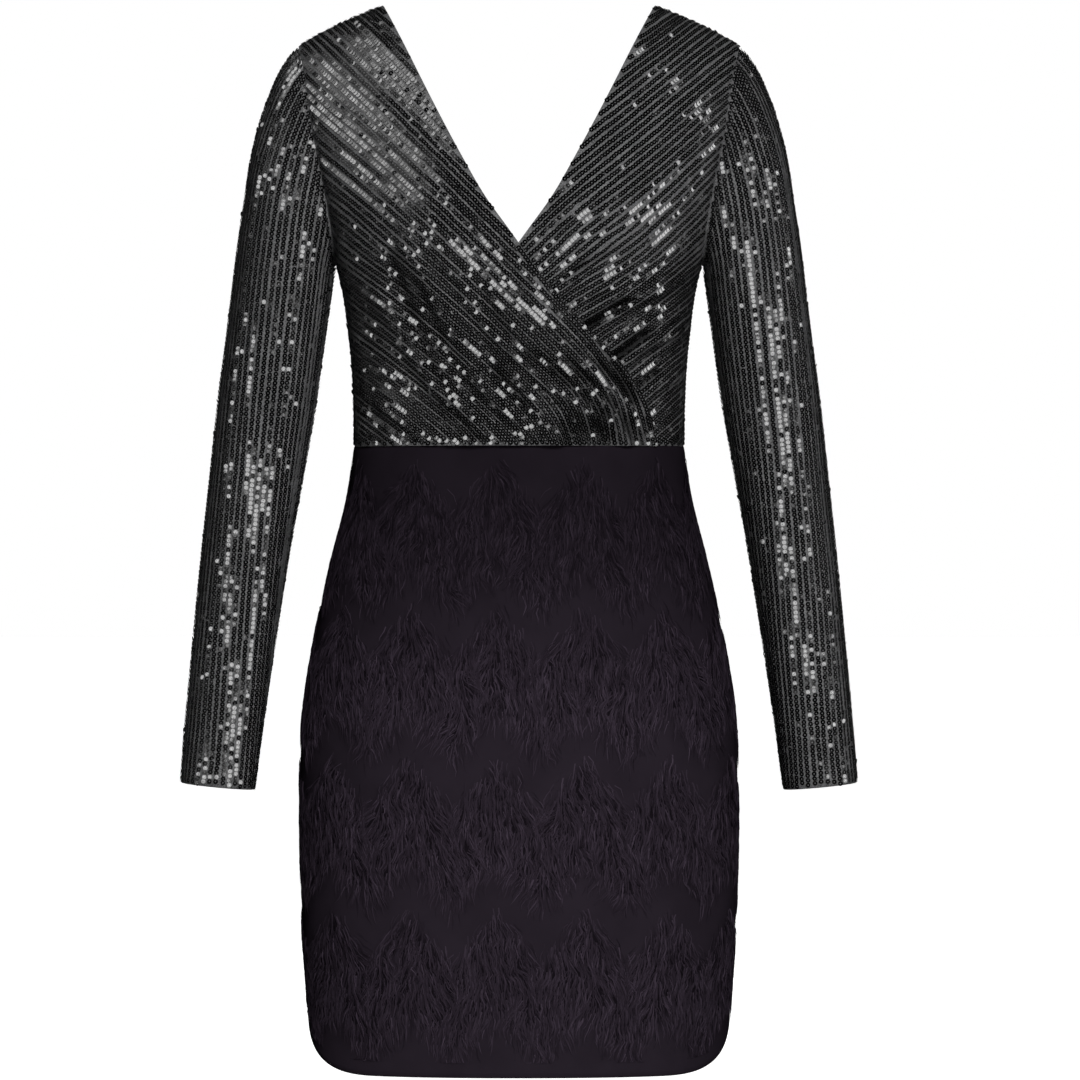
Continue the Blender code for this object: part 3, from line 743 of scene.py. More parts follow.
sequins, nodes, feed = new_material("sequins", 0.1, Specular_IOR_Level=0.6, Coat_Roughness=0.05)
disc = nodes.node("ShaderNodeUVMap", {"uv_map": "pattern"}, {})
to_middle = nodes.node("ShaderNodeVectorMath", {"operation": "DISTANCE"}, {0: disc, 1: (0.5, 0.5, 0.0)}, 1)
radius = to_middle * 2
own = mark_on(nodes, "own")
in_hole = 1 - radius.between(HOLE_SHARE - 0.06, HOLE_SHARE + 0.04)
black = own.between(0.55, 1.0).colour(SEQUIN_BLACK, SEQUIN_WORN)
rim_dull = radius.between(RIM_SHARE - 0.05, RIM_SHARE + 0.05) * RIM_ROUGHER
# painted shade in the creases darkens the sequins' colour
feed(
    Base_Color=in_hole.colour(black, SEQUIN_THREAD).times(crease_shade(nodes)),
    Roughness=GLOSSIEST + own * GLOSS_SPREAD + rim_dull,
)

BACK_SIDE_ROWS, BACK_ARM_ROWS, BACK_COLUMNS = 40, 48, 48
UP_AND_DOWN = np.array([0.0, 0.0, -1.0])
BACK_FIRST_ROW = ((0, 0), 0.5)
BACK_SEED = 11


def put_on(cloth_piece, node, on_it):
    """The cloth stands for its solid, and the pieces on it move with it."""
    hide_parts(node)
    for piece in (cloth_piece, *on_it):
        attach(piece, "root")


angle, z, climb, rise, across = bodice_half(
    back_neck, lambda z: 0 * z, BACK_V_Z, BACK_SIDE_ROWS, BACK_ARM_ROWS, BACK_COLUMNS, BACK
)
points = figure_point(angle, z, BACK)
lift = fold_height(BACK_FOLDS, points[..., 0], points[..., 2]) * (1 - ease(across, FLAT_BY_SEAM, 1.0))
points = points + figure_outward(angle, z, BACK) * lift[..., None]
out = bodice_outward(points, climb, rise, BACK)
out[climb[:, 0] < 1, 0] = unit(out[climb[:, 0] < 1, 0] * (0, 1, 1))
back_half = cloth_of(points, out, ["last_column", "first_row", "last_row"], [])
from_centre = run_along(points, 1)[0]
edge_room = np.where(climb == 1, from_centre, FAR)
back_half = back_half._replace(edge_room=edge_room)
room = np.minimum(back_half.seam_room - SEAM_MARGIN, edge_room - EDGE_MARGIN)
room = np.minimum(room, from_centre - SEAM_MARGIN)
back_rows = sew_rows(back_half, UP_AND_DOWN + 0 * points, room, BACK_FIRST_ROW, follow=FOLLOW)
halves = [shell_piece("back_half", back_half, NET_DEPTH, NET_THICK, net, BACK, side) for side in (1, -1)]
back_cloth = joined("back_bodice_cloth", halves)
halves = [sequin_piece("back_rows", back_half, back_rows, sequins, side, BACK_SEED + side) for side in (1, -1)]
back_sequins = joined("back_bodice_sequins", halves)
put_on(back_cloth, "back_bodice", [back_sequins])


# ---- Under front ----------------------------------------------------------------------------------------
# The wearer's left front, cut on the slant from the same net. It is sewn in at the shoulder, armhole, side and
# waist, its free edge is turned under, and its pleats run out from under the other front.

FRONT_V_Z = -182.5  # where the two free edges cross
FRONT_NECK = [
    EdgePoint(FRONT_V_Z, 0),
    EdgePoint(-170, 9),
    EdgePoint(-147, 25.4),
    EdgePoint(-113, 45),
    EdgePoint(-64, 71),
    EdgePoint(-13.5, 96),
    EdgePoint(NECK_Z, 112.3),
]
# How far a front's free edge has crossed to the other side, below the point of the V
WRAP_EDGE = [
    EdgePoint(WAIST_Z, 112),
    EdgePoint(-322, 106),
    EdgePoint(-307, 99),
    EdgePoint(-277, 79.5),
    EdgePoint(-254, 57.5),
    EdgePoint(-233, 37.5),
    EdgePoint(-213, 21),
    EdgePoint(FRONT_V_Z, 0),
]
UNDER_FOLDS = [
    Fold(30, -236, 68, -188, 7, 9, 4.2),
    Fold(58, -262, 114, -220, 7, 10, 5.2),
    Fold(82, -286, 126, -254, 6, 9, 5.0),
    Fold(99, -310, 130, -290, 4, 8, 3.4),
]
# A crease is a trough, with its depth as its height; that depth also gives the net and sequins in it painted
# shade
UNDER_CREASES = [
    Fold(44, -257, 84, -231, 0, 4.2, 8.0),
    Fold(68, -282, 102, -256, 0, 4.0, 7.5),
    Fold(88, -304, 112, -286, 0, 3.2, 4.0),
    Fold(30, -214, 52, -200, 0, 2.8, 2.2),
    Fold(52, -234, 72, -222, 0, 2.6, 1.6),
]
CREASE_SHADE = 1.6  # depth of a crease, mm, at which its painted shade takes two thirds of its light
FRONT_SIDE_ROWS, FRONT_ARM_ROWS, FRONT_COLUMNS = 72, 48, 96
LAP_FADE = (1 / 12, 6 / 12)  # shares of the armhole's height where a lapped front comes down to the figure
UNDER_SHOWS = 10.0  # sequins go on under the other front's edge for this far
FRONT_GAP, FRONT_PITCH = 4.75, 3.1  # the fronts' rows are drawn together

# How rows of sequins lie on a front, seen from the front with its own side seam on the right: degrees below
# level, on the way in from the side seam
RowLean = namedtuple("RowLean", "x z degrees")
UNDER_LEANS = [
    RowLean(99, -27, 36),
    RowLean(140, -27, 41),
    RowLean(66, -76, 36),
    RowLean(140, -101, 44),
    RowLean(66, -125, 38),
    RowLean(99, -142, 42),
    RowLean(140, -142, 48),
    RowLean(34, -183, 46),
    RowLean(66, -175, 38),
    RowLean(116, -175, 44),
    RowLean(83, -203, 32),
    RowLean(66, -224, 27),
    RowLean(140, -207, 40),
    RowLean(107, -248, 34),
    RowLean(140, -248, 38),
    RowLean(116, -281, 38),
    RowLean(124, -314, 42),
]
LEAN_REACH, LEAN_FALL = 14.0, -1.5  # mm, over which one lean changes into the next, and how fast
STEEPEST_OUT = -0.35  # rows run back no more steeply where the cloth faces less to the front than this
UNDER_FIRST_ROW = ((96, 0), 0.3)
UNDER_SEED = 21


def front_lay(cloth, leans):
    """Direction of a front's rows at each grid point, on the wearer's left."""
    x, z = cloth.points[..., 0], cloth.points[..., 2]
    weights = [((x - lean.x) ** 2 + (z - lean.z) ** 2 + LEAN_REACH**2) ** LEAN_FALL for lean in leans]
    turn = sum(w * math.radians(lean.degrees) for w, lean in zip(weights, leans)) / sum(weights)
    out_x, out_y, out_z = np.moveaxis(cloth.out, -1, 0)
    depth = (np.cos(turn) * out_x + np.sin(turn) * out_z) / np.minimum(out_y, STEEPEST_OUT)
    return np.stack([-np.cos(turn), depth, -np.sin(turn)], -1)


def front_half(side, folds, creases, layer):
    """One front as cloth on the wearer's left. side is its own, and layer is how far it lies over the other."""
    angle, z, climb, rise, across = bodice_half(
        front_neck, lambda z: -wrap_edge(z), FRONT_V_Z, FRONT_SIDE_ROWS, FRONT_ARM_ROWS, FRONT_COLUMNS, FRONT
    )
    points = figure_point(angle, z, FRONT)
    seams = 1 - ease(across, FLAT_BY_SEAM, 1.0)
    lapped = 1 - ease(rise, *LAP_FADE)
    x, z_seen = points[..., 0] * side, points[..., 2]
    sunk = fold_height(creases, x, z_seen) * seams
    lift = (layer * lapped + fold_height(folds, x, z_seen)) * seams - sunk
    points = points + figure_outward(angle, z, FRONT) * lift[..., None]
    out = bodice_outward(points, climb, rise, FRONT)
    # how far down in a crease each point is, which sets the painted shade there
    creased = 1 - np.exp(-sunk / CREASE_SHADE)
    return cloth_of(points, out, ["last_column", "first_row", "last_row"], ["first_column"], creased)


front_neck = smooth(FRONT_NECK, "z", "x")
wrap_edge = smooth(WRAP_EDGE, "z", "x")
under = front_half(1, UNDER_FOLDS, UNDER_CREASES, 0.0)
under_x, under_z = under.points[..., 0], under.points[..., 2]
room = np.minimum(under.seam_room - SEAM_MARGIN, under.edge_room - EDGE_MARGIN)
shows = np.where(under_z < FRONT_V_Z, under_x - wrap_edge(under_z) + UNDER_SHOWS, FAR)
room = np.minimum(room, shows)
lay = front_lay(under, UNDER_LEANS)
under_rows = sew_rows(under, lay, room, UNDER_FIRST_ROW, FRONT_GAP, FRONT_PITCH, FOLLOW)
under_cloth = shell_piece("front_under_cloth", under, NET_DEPTH, NET_THICK, net, FRONT)
under_sequins = sequin_piece("front_under_sequins", under, under_rows, sequins, 1, UNDER_SEED)
put_on(under_cloth, "front_wrap_under", [under_sequins])


# ---- Over front -----------------------------------------------------------------------------------------
# The wearer's right front, cut as the other one's mirror image. It laps over it, and its lower edge is gathered
# into the waist seam, so its rows turn down there and its folds end in short creases, darkened partly by their
# depth and partly by painted shade.

LAYER_LIFT = 3.1  # over the under front
OVER_FOLDS = [
    Fold(6, -192, 94, -302, -4, 9, 2.6),
    Fold(-30, -240, 50, -316, -5, 11, 5.0),
    Fold(-40, -284, 30, -346, -5, 11, 5.0),
    Fold(-86, -264, -4, -346, -9, 12, 3.8),
    Fold(-122, -296, -36, -346, -9, 12, 3.0),
    Fold(62, -302, 88, -346, -3, 9, 3.8),
    Fold(-96, -172, -14, -312, -4, 11, 3.4),
    Fold(-62, -180, 14, -314, -4, 10, 3.0),
    Fold(-16, -172, 60, -288, -3, 9, 2.6),
    Fold(-116, -212, -40, -334, -5, 12, 3.2),
]
# The broad shallow creases by the side seam and along the waist are there mostly for their painted shade.
OVER_CREASES = [
    Fold(-103, -184, -58, -296, -4, 5.5, 2.2),
    Fold(-36, -206, 6, -272, -2, 4.5, 1.8),
    Fold(2, -268, 66, -318, 3, 5.5, 2.6),
    Fold(-24, -278, 6, -316, -1, 4.5, 2.6),
    Fold(34, -274, 84, -322, 2, 4.0, 2.4),
    Fold(50, -236, 90, -306, 0, 3.6, 1.6),
    Fold(60, -276, 88, -306, 1, 4.0, 2.4),
    Fold(34, -322, 40, -350, 0, 4.0, 2.0),
    Fold(-124, -214, -112, -340, 0, 12, 1.1),
    Fold(-80, -206, -36, -306, -4, 5.0, 1.2),
    Fold(-58, -300, -34, -340, -1, 4.5, 1.4),
    Fold(58, -318, 72, -350, 0, 4.5, 1.8),
    Fold(84, -322, 96, -350, 0, 4.5, 1.6),
    Fold(24, -337, 116, -334, 0, 15, 1.5),
]
OVER_LEANS = [
    RowLean(98, -27, 48),
    RowLean(147, -27, 45),
    RowLean(98, -84, 46),
    RowLean(147, -84, 41),
    RowLean(57, -117, 46),
    RowLean(143, -142, 39),
    RowLean(81, -158, 42),
    RowLean(32, -166, 46),
    RowLean(122, -207, 37),
    RowLean(57, -224, 42),
    RowLean(-4, -202, 45),
    RowLean(-38, -248, 44),
    RowLean(-83, -289, 50),
    RowLean(122, -248, 35),
    RowLean(118, -306, 33),
    RowLean(73, -314, 37),
    RowLean(40, -265, 43),
    RowLean(-17, -289, 38),
    RowLean(-42, -298, 42),
    RowLean(16, -322, 43),
    RowLean(-25, -331, 58),
    RowLean(-50, -331, 80),
    RowLean(-75, -331, 88),
    RowLean(-99, -326, 75),
    RowLean(-66, -310, 62),
]
EDGE_ROW = 2.0  # how far in from the free edge its own row of sequins runs
OVER_FIRST_ROW = ((56, 0), 0.3)
OVER_SEED = 31


def row_by_edge(cloth, rows, pitch):
    """Places of a row of sequins beside the free edge, which is the first column, for that many rows of it."""
    columns = np.arange(cloth.points.shape[1])
    path = np.array([(i, np.interp(EDGE_ROW, cloth.edge_room[i], columns)) for i in range(rows)])
    run = run_along(read_grid(cloth.points, path)[None], 1)[0][0]
    at = np.arange(pitch / 2, run[-1], pitch)
    return np.stack([np.interp(at, run, path[:, 0]), np.interp(at, run, path[:, 1])], -1)


over = front_half(-1, OVER_FOLDS, OVER_CREASES, LAYER_LIFT)
room = np.minimum(over.seam_room - SEAM_MARGIN, over.edge_room - EDGE_MARGIN)
edge_row = row_by_edge(over, FRONT_SIDE_ROWS, FRONT_PITCH)
lay = front_lay(over, OVER_LEANS)
over_rows = sew_rows(over, lay, room, OVER_FIRST_ROW, FRONT_GAP, FRONT_PITCH, FOLLOW, [edge_row])
over_cloth = shell_piece("front_over_cloth", over, NET_DEPTH, NET_THICK, net, FRONT, -1)
over_sequins = sequin_piece("front_over_sequins", over, over_rows, sequins, -1, OVER_SEED)
put_on(over_cloth, "front_wrap_over", [over_sequins])


# ---- Sleeves --------------------------------------------------------------------------------------------
# Two long sleeves of the same net, each set into its armhole and closed by one seam under the arm. The rows of
# sequins run down to the cuff, whose edge is turned under.

SleeveRing = namedtuple("SleeveRing", "x_out z_out x_in z_in half_depth y_mid")
SLEEVE = [
    SleeveRing(182.0, SHOULDER_Z, 149.5, ARMPIT_Z, 54, 7),
    SleeveRing(191.0, -27, 150.0, -199.5, 55, 6),
    SleeveRing(200.5, -44, 150.3, -201.0, 56, 6),
    SleeveRing(212.4, -76, 151.0, -204.0, 56, 5),
    SleeveRing(220.6, -109, 152.0, -208.5, 56, 4),
    SleeveRing(225.5, -142, 153.0, -215.0, 55, 3),
    SleeveRing(230.4, -175, 154.5, -226.0, 54, 2),
    SleeveRing(234.5, -208, 157.0, -244.0, 52, 1),
    SleeveRing(240.5, -257, 161.2, -275.0, 50, 1),
    SleeveRing(247.0, -306, 167.4, -318.0, 48, 2),
    SleeveRing(254.0, -371, 178.0, -377.0, 46, 2),
    SleeveRing(260.8, -437, 189.0, -440.0, 44, -2),
    SleeveRing(267.0, -503, 199.0, -506.0, 41, -8),
    SleeveRing(273.0, -568, 208.4, -572.0, 37, -15),
    SleeveRing(276.6, -618, 215.0, -624.0, 34, -21),
]
SEAM_CARRY = 5.0  # rings over which a sleeve takes on its own oval from the armhole's shape
RINGS, RING_POINTS = 113, 72
SLEEVE_LAY = np.array([0.085, 0.0, -1.0])  # how the rows run, seen from the front
SLEEVE_LAP = math.radians(-8.0)  # the sleeves' sequins lean the other way, and further
ARMHOLE_DENT, ARMHOLE_DENT_WIDTH = 1.5, 7.0  # how much deeper the sleeve's head is drawn in at its seam
SLEEVE_FIRST_ROW = ((60, 18), 0.0)
SLEEVE_SEED = 41


def sleeve_cloth():
    """The wearer's left sleeve: rows from armhole to cuff, columns round it from the underarm by the front."""
    position = np.linspace(0, len(SLEEVE) - 1, RINGS)[:, None]
    curves = (smooth(SLEEVE, None, column) for column in SleeveRing._fields)
    x_out, z_out, x_in, z_in, half_depth, y_mid = (curve(position) for curve in curves)
    turn = np.linspace(math.pi, -math.pi, RING_POINTS + 1)
    face = np.where(turn >= 0, FRONT, BACK)
    turn = np.abs(turn)
    swing = np.cos(turn)
    x = (x_out + x_in) / 2 + swing * (x_out - x_in) / 2
    z = (z_out + z_in) / 2 + swing * (z_out - z_in) / 2
    y = y_mid + face * np.sin(turn) * half_depth
    points = np.stack([x, y, z], -1)
    seam_z = armhole_z(turn)
    angle = np.arcsin(np.clip(armhole(seam_z) / half_width(seam_z), -1, 1))
    on_front, on_back = (figure_point(angle, seam_z, half) for half in (FRONT, BACK))
    seam = np.where((face == FRONT)[:, None], on_front, on_back)
    points = points + (seam - points[0]) * (1 - ease(position, 0, SEAM_CARRY))[..., None]
    around = (np.roll(points[:, :-1], -1, axis=1) - np.roll(points[:, :-1], 1, axis=1)) / 2
    around = np.concatenate([around, around[:, :1]], axis=1)
    out = unit(np.cross(np.gradient(points, axis=0), around))
    out[0] = armhole_outward(turn[:, None], face)
    dent = ARMHOLE_DENT * np.exp(-((run_along(points, 0)[0] / ARMHOLE_DENT_WIDTH) ** 2))
    points = points - out * dent[..., None]
    return cloth_of(points, out, ["first_row", "first_column", "last_column"], ["last_row"])


sleeve = sleeve_cloth()
room = np.minimum(sleeve.seam_room - SEAM_MARGIN, sleeve.edge_room - EDGE_MARGIN)
sleeve_rows = sew_rows(sleeve, SLEEVE_LAY + 0 * sleeve.points, room, SLEEVE_FIRST_ROW)
for side, hand in ((1, "left"), (-1, "right")):
    cloth_piece = shell_piece(f"sleeve_{hand}_cloth", sleeve, NET_DEPTH, NET_THICK, net, BACK, side)
    rows_name, seed = f"sleeve_{hand}_sequins", SLEEVE_SEED + side
    rows_piece = sequin_piece(rows_name, sleeve, sleeve_rows, sequins, side, seed, SLEEVE_LAP)
    put_on(cloth_piece, f"sleeve_{hand}", [rows_piece])


# ---- Skirt ----------------------------------------------------------------------------------------------
# A close skirt in two pieces, front and back, of smooth plum-black cloth. It is sewn to the bodice at the waist
# and closed at both sides, and its hem rises in rounded corners beside the side seams.

TIER_TOPS = [-354.0, -472.0, -593.0, -717.0]  # heights of the zigzags' peaks
ZIGZAG_DROP = 42.0  # from a peak to a trough
COLUMNS_PER_ZIGZAG = 4
HALF_COLUMNS = 13  # from the middle to a side seam
FRINGE_INSET, FRINGE_FULL_Z = 2.0, -383.5  # the cloth stands in by this at the waist, and not below that height
HEM_Z, HEM_RISE, HEM_TURN, HEM_POWER = -853.3, 46.0, math.radians(41), 2.5
HEM_FOLLOW_Z = -760.0  # below this the rows are squeezed to follow the hem
HIP_Z = -634.0
SKIRT_THICK = 1.0
SKIRT_ROWS, FINE_COLUMNS = 112, 4  # rows from waist to hem, and columns for each column of the zigzag


def hem_height(angle):
    """The hem's height at a section angle, raised in rounded corners beside the side seams."""
    turn = np.clip((np.abs(angle) - HEM_TURN) / (math.pi / 2 - HEM_TURN), 0, 1)
    return HEM_Z + HEM_RISE * turn**HEM_POWER


def skirt_cloth(face):
    """Half of the skirt's cloth, with its columns from the wearer's right side seam to the left one.

    It comes with each point's column and level in the zigzag pattern, as it lay before the hem was shaped.
    """
    level = np.linspace(WAIST_Z, HEM_Z, SKIRT_ROWS + 1)
    part = np.linspace(-1, 1, 2 * HALF_COLUMNS * FINE_COLUMNS + 1)
    sample = np.linspace(0, math.pi / 2, 181)
    rings = figure_point(sample[None, :], np.append(level, HIP_Z)[:, None], face)
    runs = run_along(rings, 1)[0]
    hip_run = runs[-1, -1]
    along = hip_run * np.abs(part) - (hip_run - runs[:-1, -1:]) * np.abs(part) ** 3
    angle = np.array([np.interp(want, run, sample) for want, run in zip(along, runs)]) * np.sign(part)
    squeeze = (hem_height(angle) - HEM_FOLLOW_Z) / (HEM_Z - HEM_FOLLOW_Z)
    by_hem = HEM_FOLLOW_Z + (level[:, None] - HEM_FOLLOW_Z) * squeeze
    z = np.where(level[:, None] < HEM_FOLLOW_Z, by_hem, level[:, None])
    inset = FRINGE_INSET * (1 - ease(z, FRINGE_FULL_Z, WAIST_Z))
    points = figure_point(angle, z, face) - figure_outward(angle, z, face) * inset[..., None]
    out = unit(np.cross(np.gradient(points, axis=0), np.gradient(points, axis=1))) * -face
    out[0, :, 2] = 0
    for column, side in ((0, -1), (-1, 1)):
        at = points[:, column, 2]
        slope = (half_width(at + 1) - half_width(at - 1)) / 2
        out[:, column] = np.stack([side + 0 * at, 0 * at, -slope], -1)
    cloth = cloth_of(points, unit(out), ["first_row", "first_column", "last_column"], ["last_row"])
    pattern = np.stack(np.broadcast_arrays(part * HALF_COLUMNS, level[:, None]), -1)
    return cloth, pattern


# Smooth plum-black cloth, with painted shade under the fringe and towards the waist
PLUM = (0.0368, 0.0283, 0.0396)
PLUM_SHADE = (0.0146, 0.0112, 0.0157)
WAIST_PAINTED_SHADE = 0.66  # painted shade: the cloth and its fringe are this much darker at the waist, fading out down to the lower height
WAIST_SHADE_FULL_Z, WAIST_SHADE_GONE_Z = -400.0, -560.0
BAND_LENGTH, BAND_FLATTER = 104.0, 9.0  # a tier from roots to tips under a peak, and what a trough has less
ROOTS_FADE, TIPS_FADE = (2, 16), (-26, -8)  # where the fringe's shade begins and ends, from its roots and tips
MOTTLE = (0.88, 1.08)  # darkest and lightest patches of the smooth cloth, against its own colour

skirt_ground, nodes, feed = new_material("skirt_cloth", 0.95, Specular_IOR_Level=0.0)
pattern = nodes.node("ShaderNodeUVMap", {"uv_map": "pattern"}, {})
column, height = part_of(nodes, pattern, 0), part_of(nodes, pattern, 1)
zigzag = nodes.math("PINGPONG", column + 1, COLUMNS_PER_ZIGZAG / 2) / (COLUMNS_PER_ZIGZAG / 2)
under_fringe = 0
for top in TIER_TOPS:
    depth = top - ZIGZAG_DROP * zigzag - height
    length = BAND_LENGTH - BAND_FLATTER * zigzag
    under_fringe = under_fringe + depth.between(*ROOTS_FADE) * (1 - (depth - length).between(*TIPS_FADE))
place = place_on(nodes)
# painted shade: the cloth is darker towards the waist
waist_shaded = height.between(WAIST_SHADE_GONE_Z, WAIST_SHADE_FULL_Z).colour(PLUM, [c * WAIST_PAINTED_SHADE for c in PLUM])
mottle = noise(nodes, place, 22.0, 4.0).between(0.3, 0.7).colour([MOTTLE[0]] * 3, [MOTTLE[1]] * 3)
feed(
    Base_Color=under_fringe.colour(mottle.times(waist_shaded), PLUM_SHADE),
    Normal=bumped(nodes, noise(nodes, place, 900.0, 2.0), 0.0002, 0.5),
)

skirts = {}
for name, face in (("front", FRONT), ("back", BACK)):
    cloth, pattern = skirt_cloth(face)
    skirts[name] = cloth
    piece = shell_piece(f"skirt_{name}_cloth", cloth, 0.0, SKIRT_THICK, skirt_ground, -face, 1, pattern)
    put_on(piece, f"skirt_{name}", [])


# ---- Fringe ---------------------------------------------------------------------------------------------
# Four tiers of fine soft strands, looped into the skirt's cloth in close rows under a zigzag line. They fan out
# from each peak and lie flat over the cloth, one row over the next.

TIER_ROWS = 18  # rows of roots in a tier
STRAND_STEP = 1.05  # between roots along a row, mm
STRAND_LENGTH, LENGTH_SPREAD = 14.5, 0.22
STRAND_WIDTH = 0.9
STRAND_KNOTS = 4  # places along a strand
ROOT_SPREAD = 3.5
FAN = math.radians(30)  # how far strands lean out at the root, half way between a peak and a trough
FAN_BACK = 0.5  # how much of the lean a strand has lost at its tip
TIER_TURN = 1.5  # how much of the lean is lost down a tier: more than 1 turns the strands in again
SWIRL, SWIRL_SIZE = 0.46, 14.0  # how far patches of strands lean aside, and the size of a patch
CLUMP = 3.4  # width that draws together into one lock at the tips
CLUMP_PULL = 0.4
WAVE, WAVE_SIZE, WAVE_GROWS = 1.2, 5.5, 3  # how far locks wave, over what length, and how soon in full
ROOT_STRAY = 0.04  # of roots along a row, in columns
FAN_RUN = 0.62  # of half a turn, over which the lean rises and falls from a peak to a trough
LEAN_STRAY, BEND_STRAY = 0.1, 0.12  # radians, of a whole strand and of each place along it
ROOT_LIFT, LIFT, LIFT_GROWS = 0.15, 1.6, 2.4  # how far strands stand off the cloth, and how soon
LIFT_SPREAD, SETTLE = 0.5, 0.5  # shares of the lift that differ by strand, and that are lost at its tip
TOP_LIFT, TOP_GROWS = 0.5, 2  # what the tier's first rows stand off besides, and how soon
STRAND_ROLL = 0.5  # radians that ribbons roll out of the cloth's plane
TAPER, TAPER_LATE = 0.8, 2.2
WIDTH_LEAST, WIDTH_SPREAD = 0.7, 0.6
HEM_BAND = 12.0  # left bare above the hem
COLUMN_WIDTH = 18.5  # of cloth to one column of the zigzag pattern
NOISE_CELLS = 64
FRINGE_SEED = 50


def value_noise(rng, across, down, size):
    """Smooth random numbers over a plane, which change over about size."""
    table = rng.normal(size=(NOISE_CELLS, NOISE_CELLS))
    u, v = across / size, down / size
    i, j = np.floor(u).astype(int), np.floor(v).astype(int)
    s, t = soften(u - i), soften(v - j)

    def between_columns(row):
        at = row % NOISE_CELLS
        return table[at, j % NOISE_CELLS] * (1 - t) + table[at, (j + 1) % NOISE_CELLS] * t

    return between_columns(i) * (1 - s) + between_columns(i + 1) * s


def strand_roots(rng, tops):
    """Each root's column and height, and how far down its tier its row is."""
    count = int(2 * HALF_COLUMNS * COLUMN_WIDTH / STRAND_STEP)
    columns, heights, layers = [], [], []
    for top in tops:
        for row in range(TIER_ROWS):
            column = np.linspace(-HALF_COLUMNS, HALF_COLUMNS, count) + rng.normal(size=count) * ROOT_STRAY
            zigzag = 1 - np.abs((column + 1) % COLUMNS_PER_ZIGZAG - 2) / 2
            band = BAND_LENGTH - BAND_FLATTER * zigzag - STRAND_LENGTH
            root = band * (row + rng.random(count)) / TIER_ROWS + rng.normal(size=count) * ROOT_SPREAD
            columns.append(column)
            heights.append(top - ZIGZAG_DROP * zigzag - root)
            layers.append(np.full(count, row / TIER_ROWS))
    return [np.concatenate(values) for values in (columns, heights, layers)]


def strand_ways(rng, column, height, layer, along):
    """How far aside and down strands have gone at places along them, and how far a root is off its lock."""
    total = len(column)
    length = STRAND_LENGTH * (1 + rng.normal(size=total) * LENGTH_SPREAD)
    from_peak = (column + 1 + 2) % COLUMNS_PER_ZIGZAG - 2
    lean = FAN * np.sin(np.clip(from_peak / 2, -1, 1) * math.pi * FAN_RUN)
    lean = lean * (1 - TIER_TURN * layer)
    lean = lean + SWIRL * value_noise(rng, column * COLUMN_WIDTH, height, SWIRL_SIZE)
    lean = lean + LEAN_STRAY * rng.normal(size=total)
    bend = lean[:, None] * (1 - FAN_BACK * along) + BEND_STRAY * rng.normal(size=(total, STRAND_KNOTS))
    step = length[:, None] / (STRAND_KNOTS - 1)
    middle = (bend[:, 1:] + bend[:, :-1]) / 2
    at_root = np.zeros((total, 1))
    sideways = np.concatenate([at_root, np.cumsum(np.sin(middle) * step, 1)], 1)
    downward = np.concatenate([at_root, np.cumsum(np.cos(middle) * step, 1)], 1)
    root = column * COLUMN_WIDTH
    off_lock = (root / CLUMP - np.round(root / CLUMP)) * CLUMP
    sideways = sideways - off_lock[:, None] * CLUMP_PULL * along
    waves = value_noise(rng, root[:, None] + sideways, height[:, None] - downward, WAVE_SIZE)
    sideways = sideways + waves * WAVE * np.minimum(along * WAVE_GROWS, 1)
    return sideways, downward, off_lock


def fringe_piece(name, cloth, tops, material, seed):
    """The strands of some tiers on one half of the skirt, as one mesh of thin tapered ribbons."""
    rng = np.random.default_rng(seed)
    column, height, layer = strand_roots(rng, tops)
    total = len(column)
    along = np.linspace(0, 1, STRAND_KNOTS)
    sideways, downward, off_lock = strand_ways(rng, column, height, layer, along)
    at_column = column[:, None] + sideways / COLUMN_WIDTH
    at_height = np.maximum(height[:, None] - downward, HEM_Z + HEM_BAND)
    grid_row = (WAIST_Z - at_height) / (WAIST_Z - HEM_Z) * SKIRT_ROWS
    grid_column = np.clip((at_column + HALF_COLUMNS) * FINE_COLUMNS, 0, 2 * HALF_COLUMNS * FINE_COLUMNS)
    places = np.stack([grid_row, grid_column], -1).reshape(-1, 2)
    out = unit(read_grid(cloth.out, places)).reshape(total, STRAND_KNOTS, 3)
    base = read_grid(cloth.points, places).reshape(total, STRAND_KNOTS, 3)
    rise = np.sin(np.clip(along * LIFT_GROWS, 0, math.pi / 2))
    lift = ROOT_LIFT + LIFT * rise * (1 - LIFT_SPREAD + LIFT_SPREAD * rng.random((total, 1)))
    lift = lift * (1 - SETTLE * along) + TOP_LIFT * (1 - layer[:, None]) * np.minimum(along * TOP_GROWS, 1)
    spine = base + out * lift[..., None]
    run = unit(np.gradient(spine, axis=1))
    flat = unit(np.cross(out, run))
    roll = (rng.normal(size=(total, 1)) * STRAND_ROLL)[..., None]
    flat = unit(flat * np.cos(roll) + out * np.sin(roll))
    own_width = WIDTH_LEAST + WIDTH_SPREAD * rng.random((total, 1))
    width = STRAND_WIDTH * (1 - along**TAPER_LATE * TAPER) * own_width
    left, right = spine - flat * width[..., None] / 2, spine + flat * width[..., None] / 2
    points = np.stack([left, right], axis=2).reshape(-1, 3)
    knot = np.arange(STRAND_KNOTS - 1)[:, None] * 2 + np.array([0, 1, 3, 2])
    faces = (np.arange(total)[:, None, None] * STRAND_KNOTS * 2 + knot).reshape(-1, 4)
    share = np.tile(np.repeat(along, 2), total)
    # painted light: strands near a lock's middle are lighter and those at its sides darker, over a random tone
    shade = (1 - np.abs(off_lock) / CLUMP * 2) * 0.5 + rng.random(total) * 0.5
    marks = [("along", share), ("own", np.repeat(shade, STRAND_KNOTS * 2))]
    piece = mesh_piece(name, points, faces, material, None, marks)
    piece.data.shade_smooth()
    return piece


